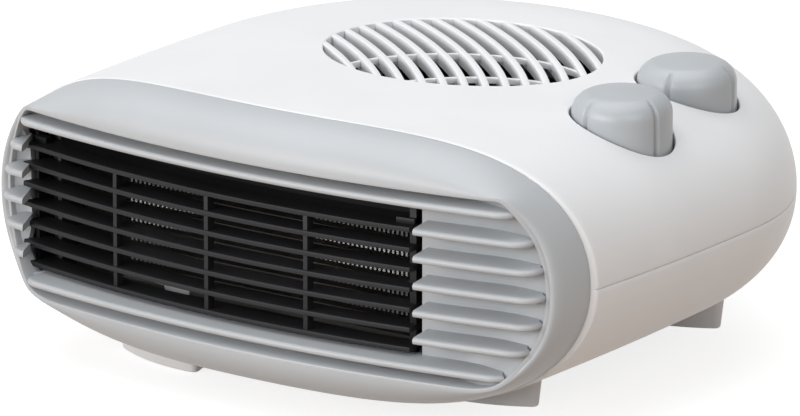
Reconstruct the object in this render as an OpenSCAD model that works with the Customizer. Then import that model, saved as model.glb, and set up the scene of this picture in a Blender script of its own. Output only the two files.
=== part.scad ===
// Flat fan heater. A wide, low, two part housing draws air in through an oval grille in its
// top and blows it forward over a heating element and out through a finned, wrap round bezel.
// Millimetres, +Z up. The origin is on the floor under the middle of the housing, the outlet
// faces -Y and the two control knobs are on the +X side.

/* [Housing] */
// Widest width of the housing
body_w = 244; // [238:1:254]
// Depth of the housing from the bezel to the back
body_d = 225; // [220:1:233]
// Height of the housing's top edge at the bezel, above the floor
body_top = 102; // [99:0.5:108]
// Height of the housing's underside at the bezel, above the floor
foot_h = 9; // [7:0.5:12]
// Height of the seam between the two covers
seam_z = 55.5; // [53:0.5:58]
// Height at which the housing is widest
wide_z = 57; // [56:0.5:60]
// Fall of the top from the bezel to the back
top_fall = 7; // [3:0.5:9]
// Rise of the underside from the bezel to the back
bottom_rise = 2.8; // [1:0.2:5]
// Depth of the rounded back, behind the widest place
back_reach = 100; // [94:1:106]
// How much narrower each side is at the bezel than at the widest place
side_flare = 7.2; // [4:0.2:10]
// Wall of both covers
wall = 2.5; // [2:0.1:3]

/* [Bezel] */
// Radius of the front in plan
front_r = 420; // [380:5:480]
// Depth of the bezel from its lip to the covers
bezel_d = 18.7; // [16:0.5:22]
// Drop from the housing's edge to the bezel's lip, above and below
lip_drop = 14.2; // [12:0.5:17]
// Step in from the housing's edge to the bezel's lip at each end
lip_step = 4.2; // [3:0.2:6]
// Number of fins across the bezel
fin_count = 7; // [5:2:7]
// Height from one fin to the next
fin_pitch = 9.27; // [8.8:0.05:9.8]
// Thickness of a fin
fin_t = 2; // [1.6:0.1:2.4]
// Radius of the fins' front edges in plan
fin_r = 500; // [440:10:560]
// Width over which a fin's front edge turns back at each end of the bezel
fin_turn = 9; // [6:0.5:12]
// How far a fin's front edge turns back at each end of the bezel
fin_sweep = 5.5; // [3:0.5:7]
// Depth of the recessed panel behind the fins' front edges
panel_depth = 10; // [8:0.5:12]
// Thickness of the recessed panel
panel_t = 2.5; // [2:0.1:3]

/* [Outlet] */
// Distance from the bezel's lip to the outlet window at the left end
window_left = 8.1; // [7:0.1:12]
// Distance from the bezel's lip to the outlet window at the right end
window_right = 48.1; // [45:0.1:52]
// Height of the outlet window
window_h = 53; // [51:0.5:55]
// How far the left fins' ends overhang the window
fin_overhang = 3.5; // [2:0.5:5]
// How far the right fins' ends stand off the window
fin_standoff = 1.5; // [0.5:0.5:3]
// Number of slats in the outlet grille
slat_count = 7; // [5:1:7]
// Height from one slat to the next
slat_pitch = 6.84; // [6.4:0.02:7.1]
// How far the middle slat is below the window's middle
slat_drop = 3.5; // [1:0.5:4.5]
// Thickness of a slat
slat_t = 1.8; // [1.4:0.1:2.2]
// Depth of a slat from front to back
slat_d = 9; // [7:0.5:10]
// Distance of the slats' front edges behind the fins' front edges
slat_set = 6.2; // [5:0.2:7]
// Width of an upright bar of the grille
bar_w = 2.4; // [2:0.1:3]
// Distance between the uprights
bar_pitch = 40; // [38:0.5:42]

/* [Intake] */
// Middle of the intake and of the fan, to the right
fan_x = 6; // [4:0.5:8]
// Middle of the intake and of the fan, to the back
fan_y = 9; // [7:0.5:11]
// Half of the intake's width
intake_rx = 48.5; // [46:0.5:50]
// Half of the intake's depth
intake_ry = 44.5; // [42:0.5:46]
// Number of curved slats in the intake
swirl_count = 13; // [9:1:15]
// Distance from one curved slat to the next
swirl_pitch = 7; // [6.6:0.1:7.6]
// Thickness of a curved slat
swirl_t = 2.2; // [1.8:0.1:2.6]
// Depth of a curved slat below the top
swirl_d = 8; // [6:0.5:9]
// Radius of the slats' curve in plan
swirl_r = 250; // [200:10:320]
// Direction of the slats, turned from the width
swirl_turn = -41; // [-46:1:-36]

/* [Controls] */
// Front knob, to the right
selector_x = 88; // [86:0.5:89]
// Front knob, to the back
selector_y = -18.3; // [-21:0.5:-16]
// Rear knob, to the right
thermostat_x = 82; // [80:0.5:84]
// Rear knob, to the back
thermostat_y = 30.5; // [28:0.5:33]
// Radius of a knob
knob_r = 16.8; // [15.5:0.1:17.2]
// Gap round a knob
knob_gap = 0.8; // [0.6:0.1:1.2]
// Height of the front knob's top
selector_top = 105; // [102:0.5:107]
// Height of the rear knob's top
thermostat_top = 102; // [99:0.5:104]
// Rounding of a knob's top edge
knob_round = 9; // [6:0.5:11]
// Radius of a knob's spindle
spindle_r = 3; // [2.5:0.1:3.5]

/* [Fan] */
// Radius of the impeller
fan_r = 44; // [40:0.5:45]
// Height of the impeller
fan_h = 34; // [28:0.5:36]
// Number of blades
blade_count = 28; // [16:2:32]
// Radial depth of a blade
blade_d = 8; // [6:0.5:10]
// Thickness of a blade
blade_t = 1; // [0.8:0.1:1.2]
// Radius of the fan's shaft
shaft_r = 2; // [1.6:0.1:2.4]
// Radius of the motor's rotor
rotor_r = 13; // [11:0.5:14]
// Gap between the rotor and the stator
air_gap = 0.4; // [0.3:0.1:0.6]
// Thickness of the motor's core
core_h = 16; // [12:1:18]

/* [Heating element] */
// Number of wound strips
strip_count = 6; // [4:1:7]
// Height from one strip to the next
strip_pitch = 6.8; // [6.4:0.1:7.4]
// Height of a wound strip's waves
strip_h = 3; // [2:0.2:4]
// Height of the element
element_h = 51; // [48:0.5:52]
// Depth of the element
element_d = 12; // [10:0.5:14]

/* [Cord inlet] */
// Radius of the inlet's bore
inlet_r = 3.6; // [3:0.1:4]
// Middle of the inlet, to the right
inlet_x = 45; // [40:1:50]
// Height of the inlet
inlet_z = 40; // [38:0.5:42]

/* [Feet] */
// Width of a foot
foot_w = 38; // [30:1:42]
// Depth of a foot
foot_d = 24; // [18:1:28]
// Rounding of a foot's corners
foot_round = 5; // [3:0.5:8]
// Radius of a foot's bowed front
foot_bow = 60; // [45:1:90]
// Draft of a foot on each side
foot_draft = 1; // [0.5:0.25:2]

/* [Hidden] */

white = [0.93, 0.94, 0.94];
grey = [0.77, 0.79, 0.81];
black = [0.16, 0.16, 0.17];
steel = [0.72, 0.73, 0.75];
copper = [0.75, 0.42, 0.22];
brass = [0.80, 0.68, 0.38];
mica = [0.72, 0.66, 0.52];
cream = [0.90, 0.88, 0.80];

// Clearances: a seat between pieces, a running fit on a radius and a tool's overrun
seat_gap = 0.2;
run_gap = 0.05;
cut = 1;

// Plan of the housing
front_y = -body_d / 2;
back_y = body_d / 2;
wide_y = back_y - back_reach;
half_w = body_w / 2;
axis_y = front_y + front_r;
joint_y = front_y + bezel_d;
joint_r = front_r - bezel_d;
joint_half = half_w - side_flare;
lip_half = joint_half - lip_step;
// How square the housing's section is: across, towards the back and underneath
side_form = 4.4;
back_form = 8.2;
under_form = 3.9;
lip_form = 12;
// Stations along a side, round the back and across the front, and lifts up to the flat top
side_steps = 6;
back_steps = 28;
front_steps = 12;
lifts = [0, 10, 20, 30, 40, 50, 60, 70, 80, 86];
under_lifts = [0, 15, 30, 45, 60, 74, 86];
inner_lifts = [0, 20, 40, 58, 74, 86];

last_lift = lifts[len(lifts) - 1];

function mix(a, b, t) = a + (b - a) * t;
// Front surfaces are arcs about one upright axis: depth of an arc at a given width
function arc_y(x, r) = axis_y - sqrt(r * r - x * x);
// Half width, top and underside of the housing at a given depth
function half_at(y) = half_w - side_flare * pow(max(wide_y - y, 0) / (wide_y - joint_y), 2);
function top_at(y) = body_top - top_fall * (y - joint_y) / (back_y - joint_y);
function under_at(y) = foot_h + bottom_rise * (y - joint_y) / (back_y - joint_y);
function reach(lift, form) = pow(cos(lift), 2 / form);

// Height of the housing's top over a place inside its outline
function form_at(x, y) = let (
    bx = x / half_w, by = max(y - wide_y, 0) / back_reach,
    share = by == 0 ? 0 : by * by / (bx * bx + by * by)
) side_form + (back_form - side_form) * share;
function spread_at(x, y) = y < wide_y
    ? abs(x) / half_at(y)
    : sqrt(pow(x / half_w, 2) + pow((y - wide_y) / back_reach, 2));
function surface_z(x, y) = wide_z + (top_at(y) - wide_z)
    * sqrt(max(1 - pow(min(spread_at(x, y), 1), form_at(x, y)), 0));

// One closed level of the housing, inset from its surface: up the side, round the back, down
// the other side and across the front. "ahead" moves the front edge forward.
function side_point(lift, form, inset, ahead, t) = let (
    rim_y = arc_y(joint_half, joint_r),
    x = reach(lift, form) * (half_at(mix(rim_y, wide_y, t)) - inset)
) [x, mix(arc_y(x, joint_r) - ahead, wide_y, t)];
function back_point(lift, form, rear_form, inset, turn) = let (
    n = form + (rear_form - form) * pow(sin(turn), 2)
) [reach(lift, n) * (half_w - inset) * cos(turn),
   wide_y + reach(lift, n) * (back_reach - inset) * sin(turn)];
function level(lift, form, rear_form, inset, ahead) = let (
    side = [for (i = [0:side_steps - 1]) side_point(lift, form, inset, ahead, i / side_steps)],
    rear = [for (i = [0:back_steps])
        back_point(lift, form, rear_form, inset, 180 * i / back_steps)],
    edge = side[0].x
) concat(
    side, rear,
    [for (i = [side_steps - 1:-1:0]) [-side[i].x, side[i].y]],
    [for (i = [1:front_steps - 1]) let (x = mix(-edge, edge, i / front_steps))
        [x, arc_y(x, joint_r) - ahead]]
);
function top_level(lift, inset, ahead) = let (
    share = lift == last_lift ? 1 : sin(lift)
) [for (p = level(lift, side_form, back_form, inset, ahead))
    [p.x, p.y, wide_z + (top_at(p.y) - inset - wide_z) * share]];
function under_level(lift, inset, ahead) = let (
    share = lift == last_lift ? 1 : sin(lift)
) [for (p = level(lift, under_form, under_form, inset, ahead))
    [p.x, p.y, seam_z - (seam_z - under_at(p.y) - inset) * share]];
function flat_level(inset, ahead, z) =
    [for (p = level(0, side_form, back_form, inset, ahead)) [p.x, p.y, z]];

// A solid through closed levels that run anticlockwise and rise from one to the next
module stack(levels) {
    n = len(levels[0]);
    last = len(levels) - 1;
    polyhedron(
        points = [for (ring = levels) each ring],
        faces = concat(
            [[for (i = [0:n - 1]) i]],
            [for (j = [0:last - 1]) for (i = [0:n - 1]) let (a = j * n + i, b = j * n + (i + 1) % n)
                each [[a, a + n, b + n], [a, b + n, b]]],
            [[for (i = [n - 1:-1:0]) last * n + i]]
        ),
        convexity = 6
    );
}

// The housing above the seam and below it, as solids inset from the outside
module top_form(inset = 0, ahead = 0, below = 0, steps = lifts) {
    stack(concat([flat_level(inset, ahead, seam_z - below)],
        [for (lift = steps) top_level(lift, inset, ahead)]));
}
module under_form_solid(inset = 0, ahead = 0, above = 0, steps = under_lifts) {
    rising = [for (i = [len(steps) - 1:-1:0]) under_level(steps[i], inset, ahead)];
    stack(above > 0 ? concat(rising, [flat_level(inset, ahead, seam_z + above)]) : rising);
}

// Screw bosses of the covers: front left, front right, rear left and rear right. All but the
// first are driven through a foot.
boss_r = 4;
boss_split = 66;
case_screw_r = 1.5;
case_bosses = [[-92, -30], [57, -41], [-66, 62], [66, 62]];

// Intake: the oval opening and its curved slats
slat_sink = 0.15;
module intake_oval(grow = 0) {
    translate([fan_x, fan_y]) scale([1, (intake_ry + grow) / (intake_rx + grow)])
        circle(r = intake_rx + grow, $fn = 52);
}
module arc_band(r, t, span, steps) {
    polygon(concat(
        [for (i = [0:steps]) let (a = mix(-span, span, i / steps)) (r + t / 2) * [cos(a), sin(a)]],
        [for (i = [steps:-1:0]) let (a = mix(-span, span, i / steps)) (r - t / 2) * [cos(a), sin(a)]]
    ));
}
module swirl_slats() {
    span = asin(1.15 * intake_rx / swirl_r);
    for (i = [0:swirl_count - 1]) {
        off = (i - (swirl_count - 1) / 2) * swirl_pitch;
        translate([fan_x, fan_y]) rotate(swirl_turn + 90) translate([off - swirl_r, 0])
            arc_band(swirl_r, swirl_t, span, 8);
    }
}
rib_r = 50;
rib_t = 1.6;
rib_h = 4;
rib_sink = 1.2;
rib_turn = 122;
rib_span = 62;
rib_middles = [[26, -41], [51, -62]];
module swirl_ribs() {
    for (m = rib_middles)
        translate([fan_x + m.x, fan_y + m.y]) rotate(rib_turn)
            arc_band(rib_r, rib_t, rib_span, 12);
}

// Wells that hold the two knobs
well_r = knob_r + knob_gap;
well_floor_z = 76;
well_t = 1.8;
knobs = [[selector_x, selector_y], [thermostat_x, thermostat_y]];

module top_cover() {
    color(white) resize([body_w, 0, 0]) difference() {
        union() {
            difference() {
                union() {
                    difference() {
                        top_form();
                        top_form(inset = wall, ahead = 4, below = cut, steps = inner_lifts);
                    }
                    intersection() {
                        top_form();
                        translate([0, 0, surface_z(fan_x, fan_y) - swirl_d - top_fall / 2])
                            linear_extrude(body_top) intake_oval(wall);
                    }
                }
                translate([0, 0, seam_z]) linear_extrude(body_top) intake_oval();
            }
            intersection() {
                top_form(inset = slat_sink);
                union() {
                    translate([0, 0, surface_z(fan_x, fan_y) - swirl_d]) linear_extrude(body_top)
                        intersection() {
                            intake_oval(wall / 2);
                            swirl_slats();
                        }
                    for (p = knobs) translate([p.x, p.y, well_floor_z - well_t])
                        cylinder(r = well_r + well_t, h = body_top, $fn = 48);
                    for (p = case_bosses) translate([p.x, p.y, boss_split])
                        cylinder(r = boss_r, h = body_top, $fn = 24);
                }
            }
            translate([0, 0, surface_z(fan_x, fan_y) - rib_sink - rib_h]) linear_extrude(rib_h)
                intersection() {
                    intake_oval(wall / 2);
                    swirl_ribs();
                }
        }
        for (p = knobs) translate([p.x, p.y, well_floor_z]) {
            cylinder(r = well_r, h = body_top, $fn = 48);
            translate([0, 0, -well_t - cut])
                cylinder(r = spindle_r + knob_gap, h = body_top, $fn = 24);
        }
        for (p = case_bosses) translate([p.x, p.y, boss_split - cut])
            cylinder(r = case_screw_r + seat_gap, h = screw_bite + 2 * cut, $fn = 16);
    }
}

// Heights inside the housing
motor_z = 19;
bracket_t = 2;
rotor_rise = 3;
core_z = motor_z + bracket_t + rotor_rise;
core_top = core_z + core_h;
scroll_z = core_top + rotor_rise + bracket_t + 1;
scroll_t = 2;
scroll_top = 88;
fan_z = scroll_z + scroll_t + 2;
control_z = 66;
control_t = 1.5;

// Window and heating element: the element stands behind the window, a little below its middle
window_x0 = window_left - lip_half;
window_x1 = lip_half - window_right;
window_z = (top_at(joint_y) + under_at(joint_y)) / 2;
element_drop = 2;
element_z = window_z - element_drop - element_h / 2;
element_x0 = window_x0 + 7;
element_x1 = window_x1 - 4.5;
element_y = front_y + 28.5;

// Cord inlet: its face is set into the back, and its tube ends short of the clamp
inlet_set = 11.5;
inlet_len = 17;
inlet_face_y = back_y - inlet_set;
inlet_back_y = inlet_face_y - inlet_len;
inlet_wall = 2.4;
inlet_flange = 3;
inlet_pad = 6;
inlet_rim = 2;

// Screws: reach into the boss above, head and countersunk room below
screw_bite = 10;
case_head_r = 2.9;
case_head_h = 2;
case_head_z = 50;
small_screw_r = 1.2;
small_head_r = 2.4;
small_head_h = 1.6;
small_screw_len = 8;

// Places that are held from below: x, y and the height of the seat
motor_span = 30;
post_r = 3.5;
scroll_posts = [[fan_x - 45, fan_y + 26], [fan_x + 26, fan_y + 45],
    [fan_x - 36, fan_y - 37], [fan_x + 33, fan_y - 22]];
control_reach = 20;
control_posts = [
    [selector_x, selector_y - control_reach],
    [(selector_x + thermostat_x) / 2, (selector_y + thermostat_y) / 2],
    [thermostat_x, thermostat_y + control_reach]
];
clamp_x = inlet_x;
clamp_y = fan_y + 59;
clamp_z = inlet_z + 4.5;
clamp_span = 9;
clamp_d = 8;
clamp_t = 3;
clamp_end = 4;
block_size = [34, 12, 11];
block_at = [fan_x - 50, fan_y + 47, 20];
block_edge = 4;

// Feet: x, y and turn. Their draft runs up to a height inside the cover.
feet = [[-57, -69, -14], [54, -44, 14], [57, 63, 14], [-57, 63, -14]];
foot_reach = 34;
foot_flat = 0.1;

module foot_plan(grow) {
    linear_extrude(foot_flat) offset(r = foot_round + grow, $fn = 20) intersection() {
        square([foot_w - 2 * foot_round, foot_d - 2 * foot_round], center = true);
        translate([0, foot_bow - foot_d / 2]) circle(r = foot_bow - foot_round, $fn = 64);
    }
}
module foot() {
    hull() {
        foot_plan(0);
        translate([0, 0, foot_reach]) foot_plan(2 * foot_draft);
    }
}
module post(x, y, top, r = post_r) {
    translate([x, y, 0]) cylinder(r = r, h = top, $fn = 12);
}
module pilot(x, y, top) {
    translate([x, y, top - small_screw_len])
        cylinder(r = small_screw_r + seat_gap, h = small_screw_len + cut, $fn = 12);
}

// A tongue along the seam locates the top cover on the bottom cover
tongue_t = 1.4;
tongue_h = 2;
tongue_root = 3;
tongue_set = 8;
element_rib_t = 3;
element_rib_in = 16;
module bottom_cover() {
    color(white) resize([body_w, 0, 0]) difference() {
        union() {
            difference() {
                union() {
                    under_form_solid();
                    for (f = feet) translate([f.x, f.y, 0]) rotate(f.z) foot();
                }
                under_form_solid(inset = wall, ahead = 4, above = cut, steps = inner_lifts);
            }
            difference() {
                stack([
                    flat_level(wall / 2, -tongue_set, seam_z - tongue_root),
                    flat_level(wall + seat_gap, -tongue_set, seam_z),
                    flat_level(wall + seat_gap, -tongue_set, seam_z + tongue_h)
                ]);
                stack([
                    flat_level(wall + seat_gap + tongue_t, tongue_set, seam_z - tongue_root - cut),
                    flat_level(wall + seat_gap + tongue_t, tongue_set, seam_z + tongue_h + cut)
                ]);
            }
            intersection() {
                under_form_solid(inset = wall / 2, ahead = 2, above = body_top);
                union() {
                    for (p = case_bosses) post(p.x, p.y, boss_split - seat_gap, boss_r + 1.4);
                    for (p = scroll_posts) post(p.x, p.y, scroll_z);
                    for (p = control_posts) post(p.x, p.y, control_z);
                    for (s = [-1, 1]) post(fan_x + s * motor_span, fan_y, motor_z);
                    for (s = [-1, 1]) post(clamp_x + s * clamp_span, clamp_y, clamp_z);
                    translate([clamp_x, clamp_y, (inlet_z - inlet_r) / 2])
                        cube([2 * clamp_span, clamp_d - 2, inlet_z - inlet_r], center = true);
                    for (x = [element_x0 + element_rib_in, element_x1 - element_rib_in])
                        translate([x - element_rib_t / 2, element_y, 0])
                            cube([element_rib_t, element_d, element_z - scroll_t]);
                    translate([block_at.x + block_edge, block_at.y + block_edge / 2, 0])
                        cube([block_size.x - 2 * block_edge, block_size.y - block_edge, block_at.z]);
                }
            }
            translate([inlet_x, inlet_face_y, inlet_z]) rotate([90, 0, 0])
                cylinder(r = inlet_r + inlet_wall + inlet_pad, h = inlet_len - inlet_rim, $fn = 32);
        }
        for (p = case_bosses) translate([p.x, p.y, -cut]) {
            cylinder(r = case_head_r + seat_gap, h = case_head_z + cut, $fn = 16);
            cylinder(r = case_screw_r + seat_gap, h = boss_split + 2 * cut, $fn = 12);
        }
        for (s = [-1, 1]) pilot(fan_x + s * motor_span, fan_y, motor_z);
        for (s = [-1, 1]) pilot(clamp_x + s * clamp_span, clamp_y, clamp_z);
        for (p = control_posts) pilot(p.x, p.y, control_z);
        translate([inlet_x, inlet_face_y + cut, inlet_z]) rotate([90, 0, 0])
            cylinder(r = inlet_r + inlet_wall + seat_gap, h = inlet_len + 2 * cut, $fn = 32);
        translate([inlet_x, inlet_face_y, inlet_z]) rotate([-90, 0, 0])
            cylinder(r = inlet_r + inlet_wall + inlet_flange + 1, h = body_d, $fn = 32);
    }
}

// Bezel: closed loops from the covers' edge, over the rounded front to the lip and back inside
loop_form = 6.5;
loop_ends = [for (turn = [0:7:84]) pow(cos(turn), 2 / loop_form)];
loop_quarter = concat(loop_ends, [0.375, 0.25, 0.125]);
loop_half = concat(loop_quarter, [0], [for (i = [len(loop_quarter) - 1:-1:0]) -loop_quarter[i]]);
function rise(share, form) = sqrt(max(1 - pow(abs(share), form), 0));
function bezel_loop(share, r, inset) = [
    for (half = [1, -1]) for (s = loop_half) let (
        edge = half > 0 ? wide_z : seam_z,
        outer_h = half > 0 ? top_at(joint_y) - wide_z : seam_z - under_at(joint_y),
        outer_z = (outer_h - inset) * rise(s, half > 0 ? side_form : under_form),
        lip_z = (outer_h - lip_drop - inset) * rise(s, lip_form),
        x = half * s * (mix(joint_half, lip_half, share) - inset)
    ) [x, arc_y(x, r), edge + half * mix(outer_z, lip_z, share)]
];
module ring(loops) {
    n = len(loops[0]);
    m = len(loops);
    polyhedron(
        points = [for (loop = loops) each loop],
        faces = [for (j = [0:m - 1]) for (i = [0:n - 1]) let (
            a = j * n + i, b = ((j + 1) % m) * n + i,
            c = ((j + 1) % m) * n + (i + 1) % n, d = j * n + (i + 1) % n
        ) each [[a, b, c], [a, c, d]]],
        convexity = 8
    );
}
panel_r = front_r - panel_depth;
panel_back_r = panel_r - panel_t;
hollow_r = mix(joint_r, front_r, 0.6);
lip_bead = 0.5;
lip_root = 1.2;
rounding = [0, 18, 36, 54, 72, 90];
bar_step = 12;

module lip_outline(inset) {
    rotate([90, 0, 0]) linear_extrude(body_d, center = true)
        polygon([for (p = bezel_loop(1, front_r, inset)) [p.x, p.z]]);
}
module front_sheet(r0, r1) {
    steps = ceil(2 * joint_half / bar_step);
    stack([for (j = [0:steps]) let (
        x = mix(-joint_half, joint_half, j / steps), y0 = arc_y(x, r0), y1 = arc_y(x, r1)
    ) [[x, y0, body_top], [x, y1, body_top], [x, y1, 0], [x, y0, 0]]]);
}

// Fins: their rounded front edges follow a flatter arc than the lip, stand proud of it towards
// the ends and turn back into it there. The ends at the window are slanted in plan.
fin_sink = 0.3;
fin_root = 0.8;
fin_slant = 0.6;
function lip_half_at(z) = let (
    edge = z > wide_z ? wide_z : seam_z,
    full = z > wide_z ? top_at(joint_y) - wide_z : seam_z - under_at(joint_y),
    share = min(abs(z - edge) / (full - lip_drop - fin_root), 1)
) (lip_half - fin_root) * pow(1 - share * share, 1 / lip_form);
function fin_y(x, end) = let (
    over = min(max(abs(x) - end + fin_turn, 0) / fin_turn, 1),
    back = fin_sweep * (1 - sqrt(1 - over * over))
) front_y + fin_sink + fin_r - sqrt(fin_r * fin_r - x * x) + back;
function fin_stations(a, b) = let (
    n = max(ceil((b - a) / bar_step), 4)
) [for (i = [0:n]) mix(a, b, (1 - cos(180 * i / n)) / 2)];
module fin(z, x0, x1, slant0 = 0, slant1 = 0) {
    end = lip_half_at(z) + fin_root;
    xs = fin_stations(max(x0, -end), min(x1, end));
    edge = [for (a = [90:-45:-90]) fin_t / 2 * [1 - cos(a), sin(a)]];
    stack([for (j = [0:len(xs) - 1]) let (
        x = xs[j], slant = mix(slant0, slant1, j / (len(xs) - 1)),
        nose = fin_y(x, end), root = arc_y(x, panel_r - panel_t / 2) - nose
    ) [for (p = concat([[root, -fin_t / 2], [root, fin_t / 2]], edge))
        [x + slant * p[0], nose + p[0], z + p[1]]]]);
}
module fins() {
    for (i = [0:fin_count - 1]) {
        off = i - (fin_count - 1) / 2;
        z = window_z + off * fin_pitch;
        if (abs(off) == (fin_count - 1) / 2) {
            fin(z, -joint_half, joint_half);
        } else {
            fin(z, -joint_half, window_x0 + fin_overhang, 0, -fin_slant);
            fin(z, window_x1 + fin_standoff, joint_half, fin_slant, 0);
        }
    }
}

// Tongues that reach from the bezel in under the covers' walls
tab_w = 16;
tab_t = 1.6;
tab_reach = 6;
tab_gap = 1.2;
tab_bite = 0.8;
tab_spots = [-66, 0, 66];
module tabs() {
    for (x = tab_spots, half = [1, -1]) {
        across = (abs(x) + tab_w / 2) / (joint_half - wall);
        full = half > 0 ? top_at(joint_y) - wide_z : seam_z - under_at(joint_y);
        high = (full - wall) * rise(across, half > 0 ? side_form : under_form) - tab_gap;
        z = (half > 0 ? wide_z : seam_z) + half * high - (half > 0 ? tab_t : 0);
        front = arc_y(x, hollow_r + tab_bite);
        translate([x - tab_w / 2, front, z])
            cube([tab_w, arc_y(x, joint_r) + tab_reach - front, tab_t]);
    }
}
module front_bezel() {
    back_r = joint_r + seat_gap;
    color(grey) resize([2 * joint_half, 0, 0]) union() {
        ring(concat(
            [for (a = rounding) bezel_loop(1 - cos(a), mix(back_r, front_r, sin(a)), 0)],
            [
                bezel_loop(1, front_r - lip_bead, lip_root),
                bezel_loop(1, panel_back_r, lip_root + lip_bead),
                bezel_loop(0.82, panel_back_r, 0),
                bezel_loop(0.82, hollow_r, 0),
                bezel_loop(0.5, hollow_r, 0),
                bezel_loop(0.32, back_r, 0)
            ]
        ));
        difference() {
            intersection() {
                front_sheet(panel_back_r, panel_r);
                lip_outline(1);
            }
            translate([window_x0, front_y - cut, window_z - window_h / 2])
                cube([window_x1 - window_x0, body_d / 2, window_h]);
        }
        intersection() {
            fins();
            lip_outline(fin_root);
        }
        tabs();
    }
}

// Outlet grille, set in the bezel's window from behind
slat_r = front_r - slat_set;
frame_r = slat_r - 5;
frame_d = 5.5;
frame_back_r = frame_r - frame_d;
rail_t = 2;
window_gap = 0.4;
slat_x0 = window_x0 + 0.9;
slat_clear = 2.2;
slat_x1 = window_x1 - 2.5;
frame_x0 = window_x0 + 4.9;
frame_x1 = window_x1 - 1.9;
// The flange behind the panel laps the window, with its left corners cut off to clear the bezel
lap = 2;
lap_cut = 6;
flange_t = 1.6;
function arc_turn(x, r) = asin(x / r) - 90;
module arc_sweep(x0, x1, r) {
    translate([0, axis_y, 0]) rotate(arc_turn(x0, r))
        rotate_extrude(angle = arc_turn(x1, r) - arc_turn(x0, r), $fn = 360) children();
}
module arc_box(x0, x1, r0, r1, z0, z1) {
    arc_sweep(x0, x1, r1) translate([r0, z0]) square([r1 - r0, z1 - z0]);
}
function rounded_bar(front, back, z, t) = concat(
    [[back, z + t / 2], [back, z - t / 2]],
    [for (a = [-90:45:90]) [front - t / 2 + t / 2 * cos(a), z + t / 2 * sin(a)]]
);
module grille_flange(low, high) {
    x0 = window_x0 - lap;
    x1 = window_x1 + lap;
    back = panel_back_r - seat_gap;
    intersection() {
        arc_box(x0, x1, back - flange_t, back, low, high);
        rotate([90, 0, 0]) linear_extrude(body_d, center = true) polygon([
            [x0, low + lap_cut], [x0 + lap_cut, low], [x1, low],
            [x1, high], [x0 + lap_cut, high], [x0, high - lap_cut]
        ]);
    }
}
module outlet_grille() {
    low = window_z - window_h / 2 + window_gap;
    high = window_z + window_h / 2 - window_gap;
    mid = (frame_x0 + frame_x1 - bar_w) / 2;
    bars = concat([frame_x0], [for (i = [-1:1]) mid + i * bar_pitch], [frame_x1 - bar_w]);
    color(black) union() {
        difference() {
            union() {
                arc_box(frame_x0, frame_x1, frame_back_r, frame_r, low, high);
                grille_flange(low - lap, high + lap);
            }
            for (i = [0:len(bars) - 2])
                arc_box(bars[i] + bar_w, bars[i + 1], frame_back_r - cut, frame_r + cut,
                    low + rail_t, high - rail_t);
        }
        for (i = [0:slat_count - 1]) {
            z = window_z - slat_drop + (i - (slat_count - 1) / 2) * slat_pitch;
            arc_sweep(max(slat_x0, slat_clear - lip_half_at(z - slat_t / 2)), slat_x1, slat_r)
                polygon(rounded_bar(slat_r, slat_r - slat_d, z, slat_t));
        }
    }
}

// Fan housing: a spiral wall on a floor that ramps down to the heating element
scroll_r0 = fan_r + 3;
scroll_grow = 17;
scroll_start = -50;
scroll_end = 195;
scroll_wall = 1.6;
shaft_hole_r = 9;
duct_room = 5;
duct_top = element_z + element_h + duct_room;
scroll_front_y = element_y + element_d + 0.3;
ramp_y = fan_y - 44;
spiral = [for (a = [scroll_start:7:scroll_end])
    let (r = scroll_r0 + scroll_grow * (a - scroll_start) / (scroll_end - scroll_start))
    [fan_x + r * cos(a), fan_y + r * sin(a)]];
duct_x0 = element_x0 - seat_gap - scroll_wall / 2;
duct_x1 = element_x1 + seat_gap + scroll_wall / 2;
duct_r = frame_back_r - seat_gap;
scroll_path = concat(
    [[duct_x1, front_y], [duct_x1, scroll_front_y]], spiral,
    [[duct_x0, scroll_front_y], [duct_x0, front_y]]
);
function unit(v) = v / norm(v);
function path_side(path, i, off) = let (
    a = path[max(i - 1, 0)], b = path[min(i + 1, len(path) - 1)], d = unit(b - a)
) path[i] + off * [d.y, -d.x];
module path_wall(path, t) {
    polygon(concat(
        [for (i = [0:len(path) - 1]) path_side(path, i, t / 2)],
        [for (i = [len(path) - 1:-1:0]) path_side(path, i, -t / 2)]
    ));
}
module side_profile(points) {
    rotate([90, 0, 90]) linear_extrude(body_w, center = true) polygon(points);
}
module fan_scroll() {
    under = element_z - scroll_t;
    color(black) difference() {
        union() {
            intersection() {
                linear_extrude(body_top) polygon(scroll_path);
                side_profile([
                    [back_y, scroll_z], [back_y, scroll_z + scroll_t], [ramp_y, scroll_z + scroll_t],
                    [scroll_front_y, element_z], [front_y, element_z], [front_y, under],
                    [scroll_front_y, under], [ramp_y, scroll_z]
                ]);
            }
            intersection() {
                linear_extrude(body_top) path_wall(scroll_path, scroll_wall);
                side_profile([
                    [back_y, scroll_z], [back_y, scroll_top], [scroll_front_y, duct_top],
                    [front_y, duct_top], [front_y, under], [scroll_front_y, under], [ramp_y, scroll_z]
                ]);
            }
        }
        translate([fan_x, fan_y, scroll_z - cut]) cylinder(r = shaft_hole_r, h = 2 * cut + scroll_t);
        difference() {
            translate([-half_w, front_y - cut, 0]) cube([body_w, body_d / 2, body_top]);
            translate([0, axis_y, -cut]) cylinder(r = duct_r, h = body_top + 2 * cut, $fn = 360);
        }
    }
}

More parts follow.
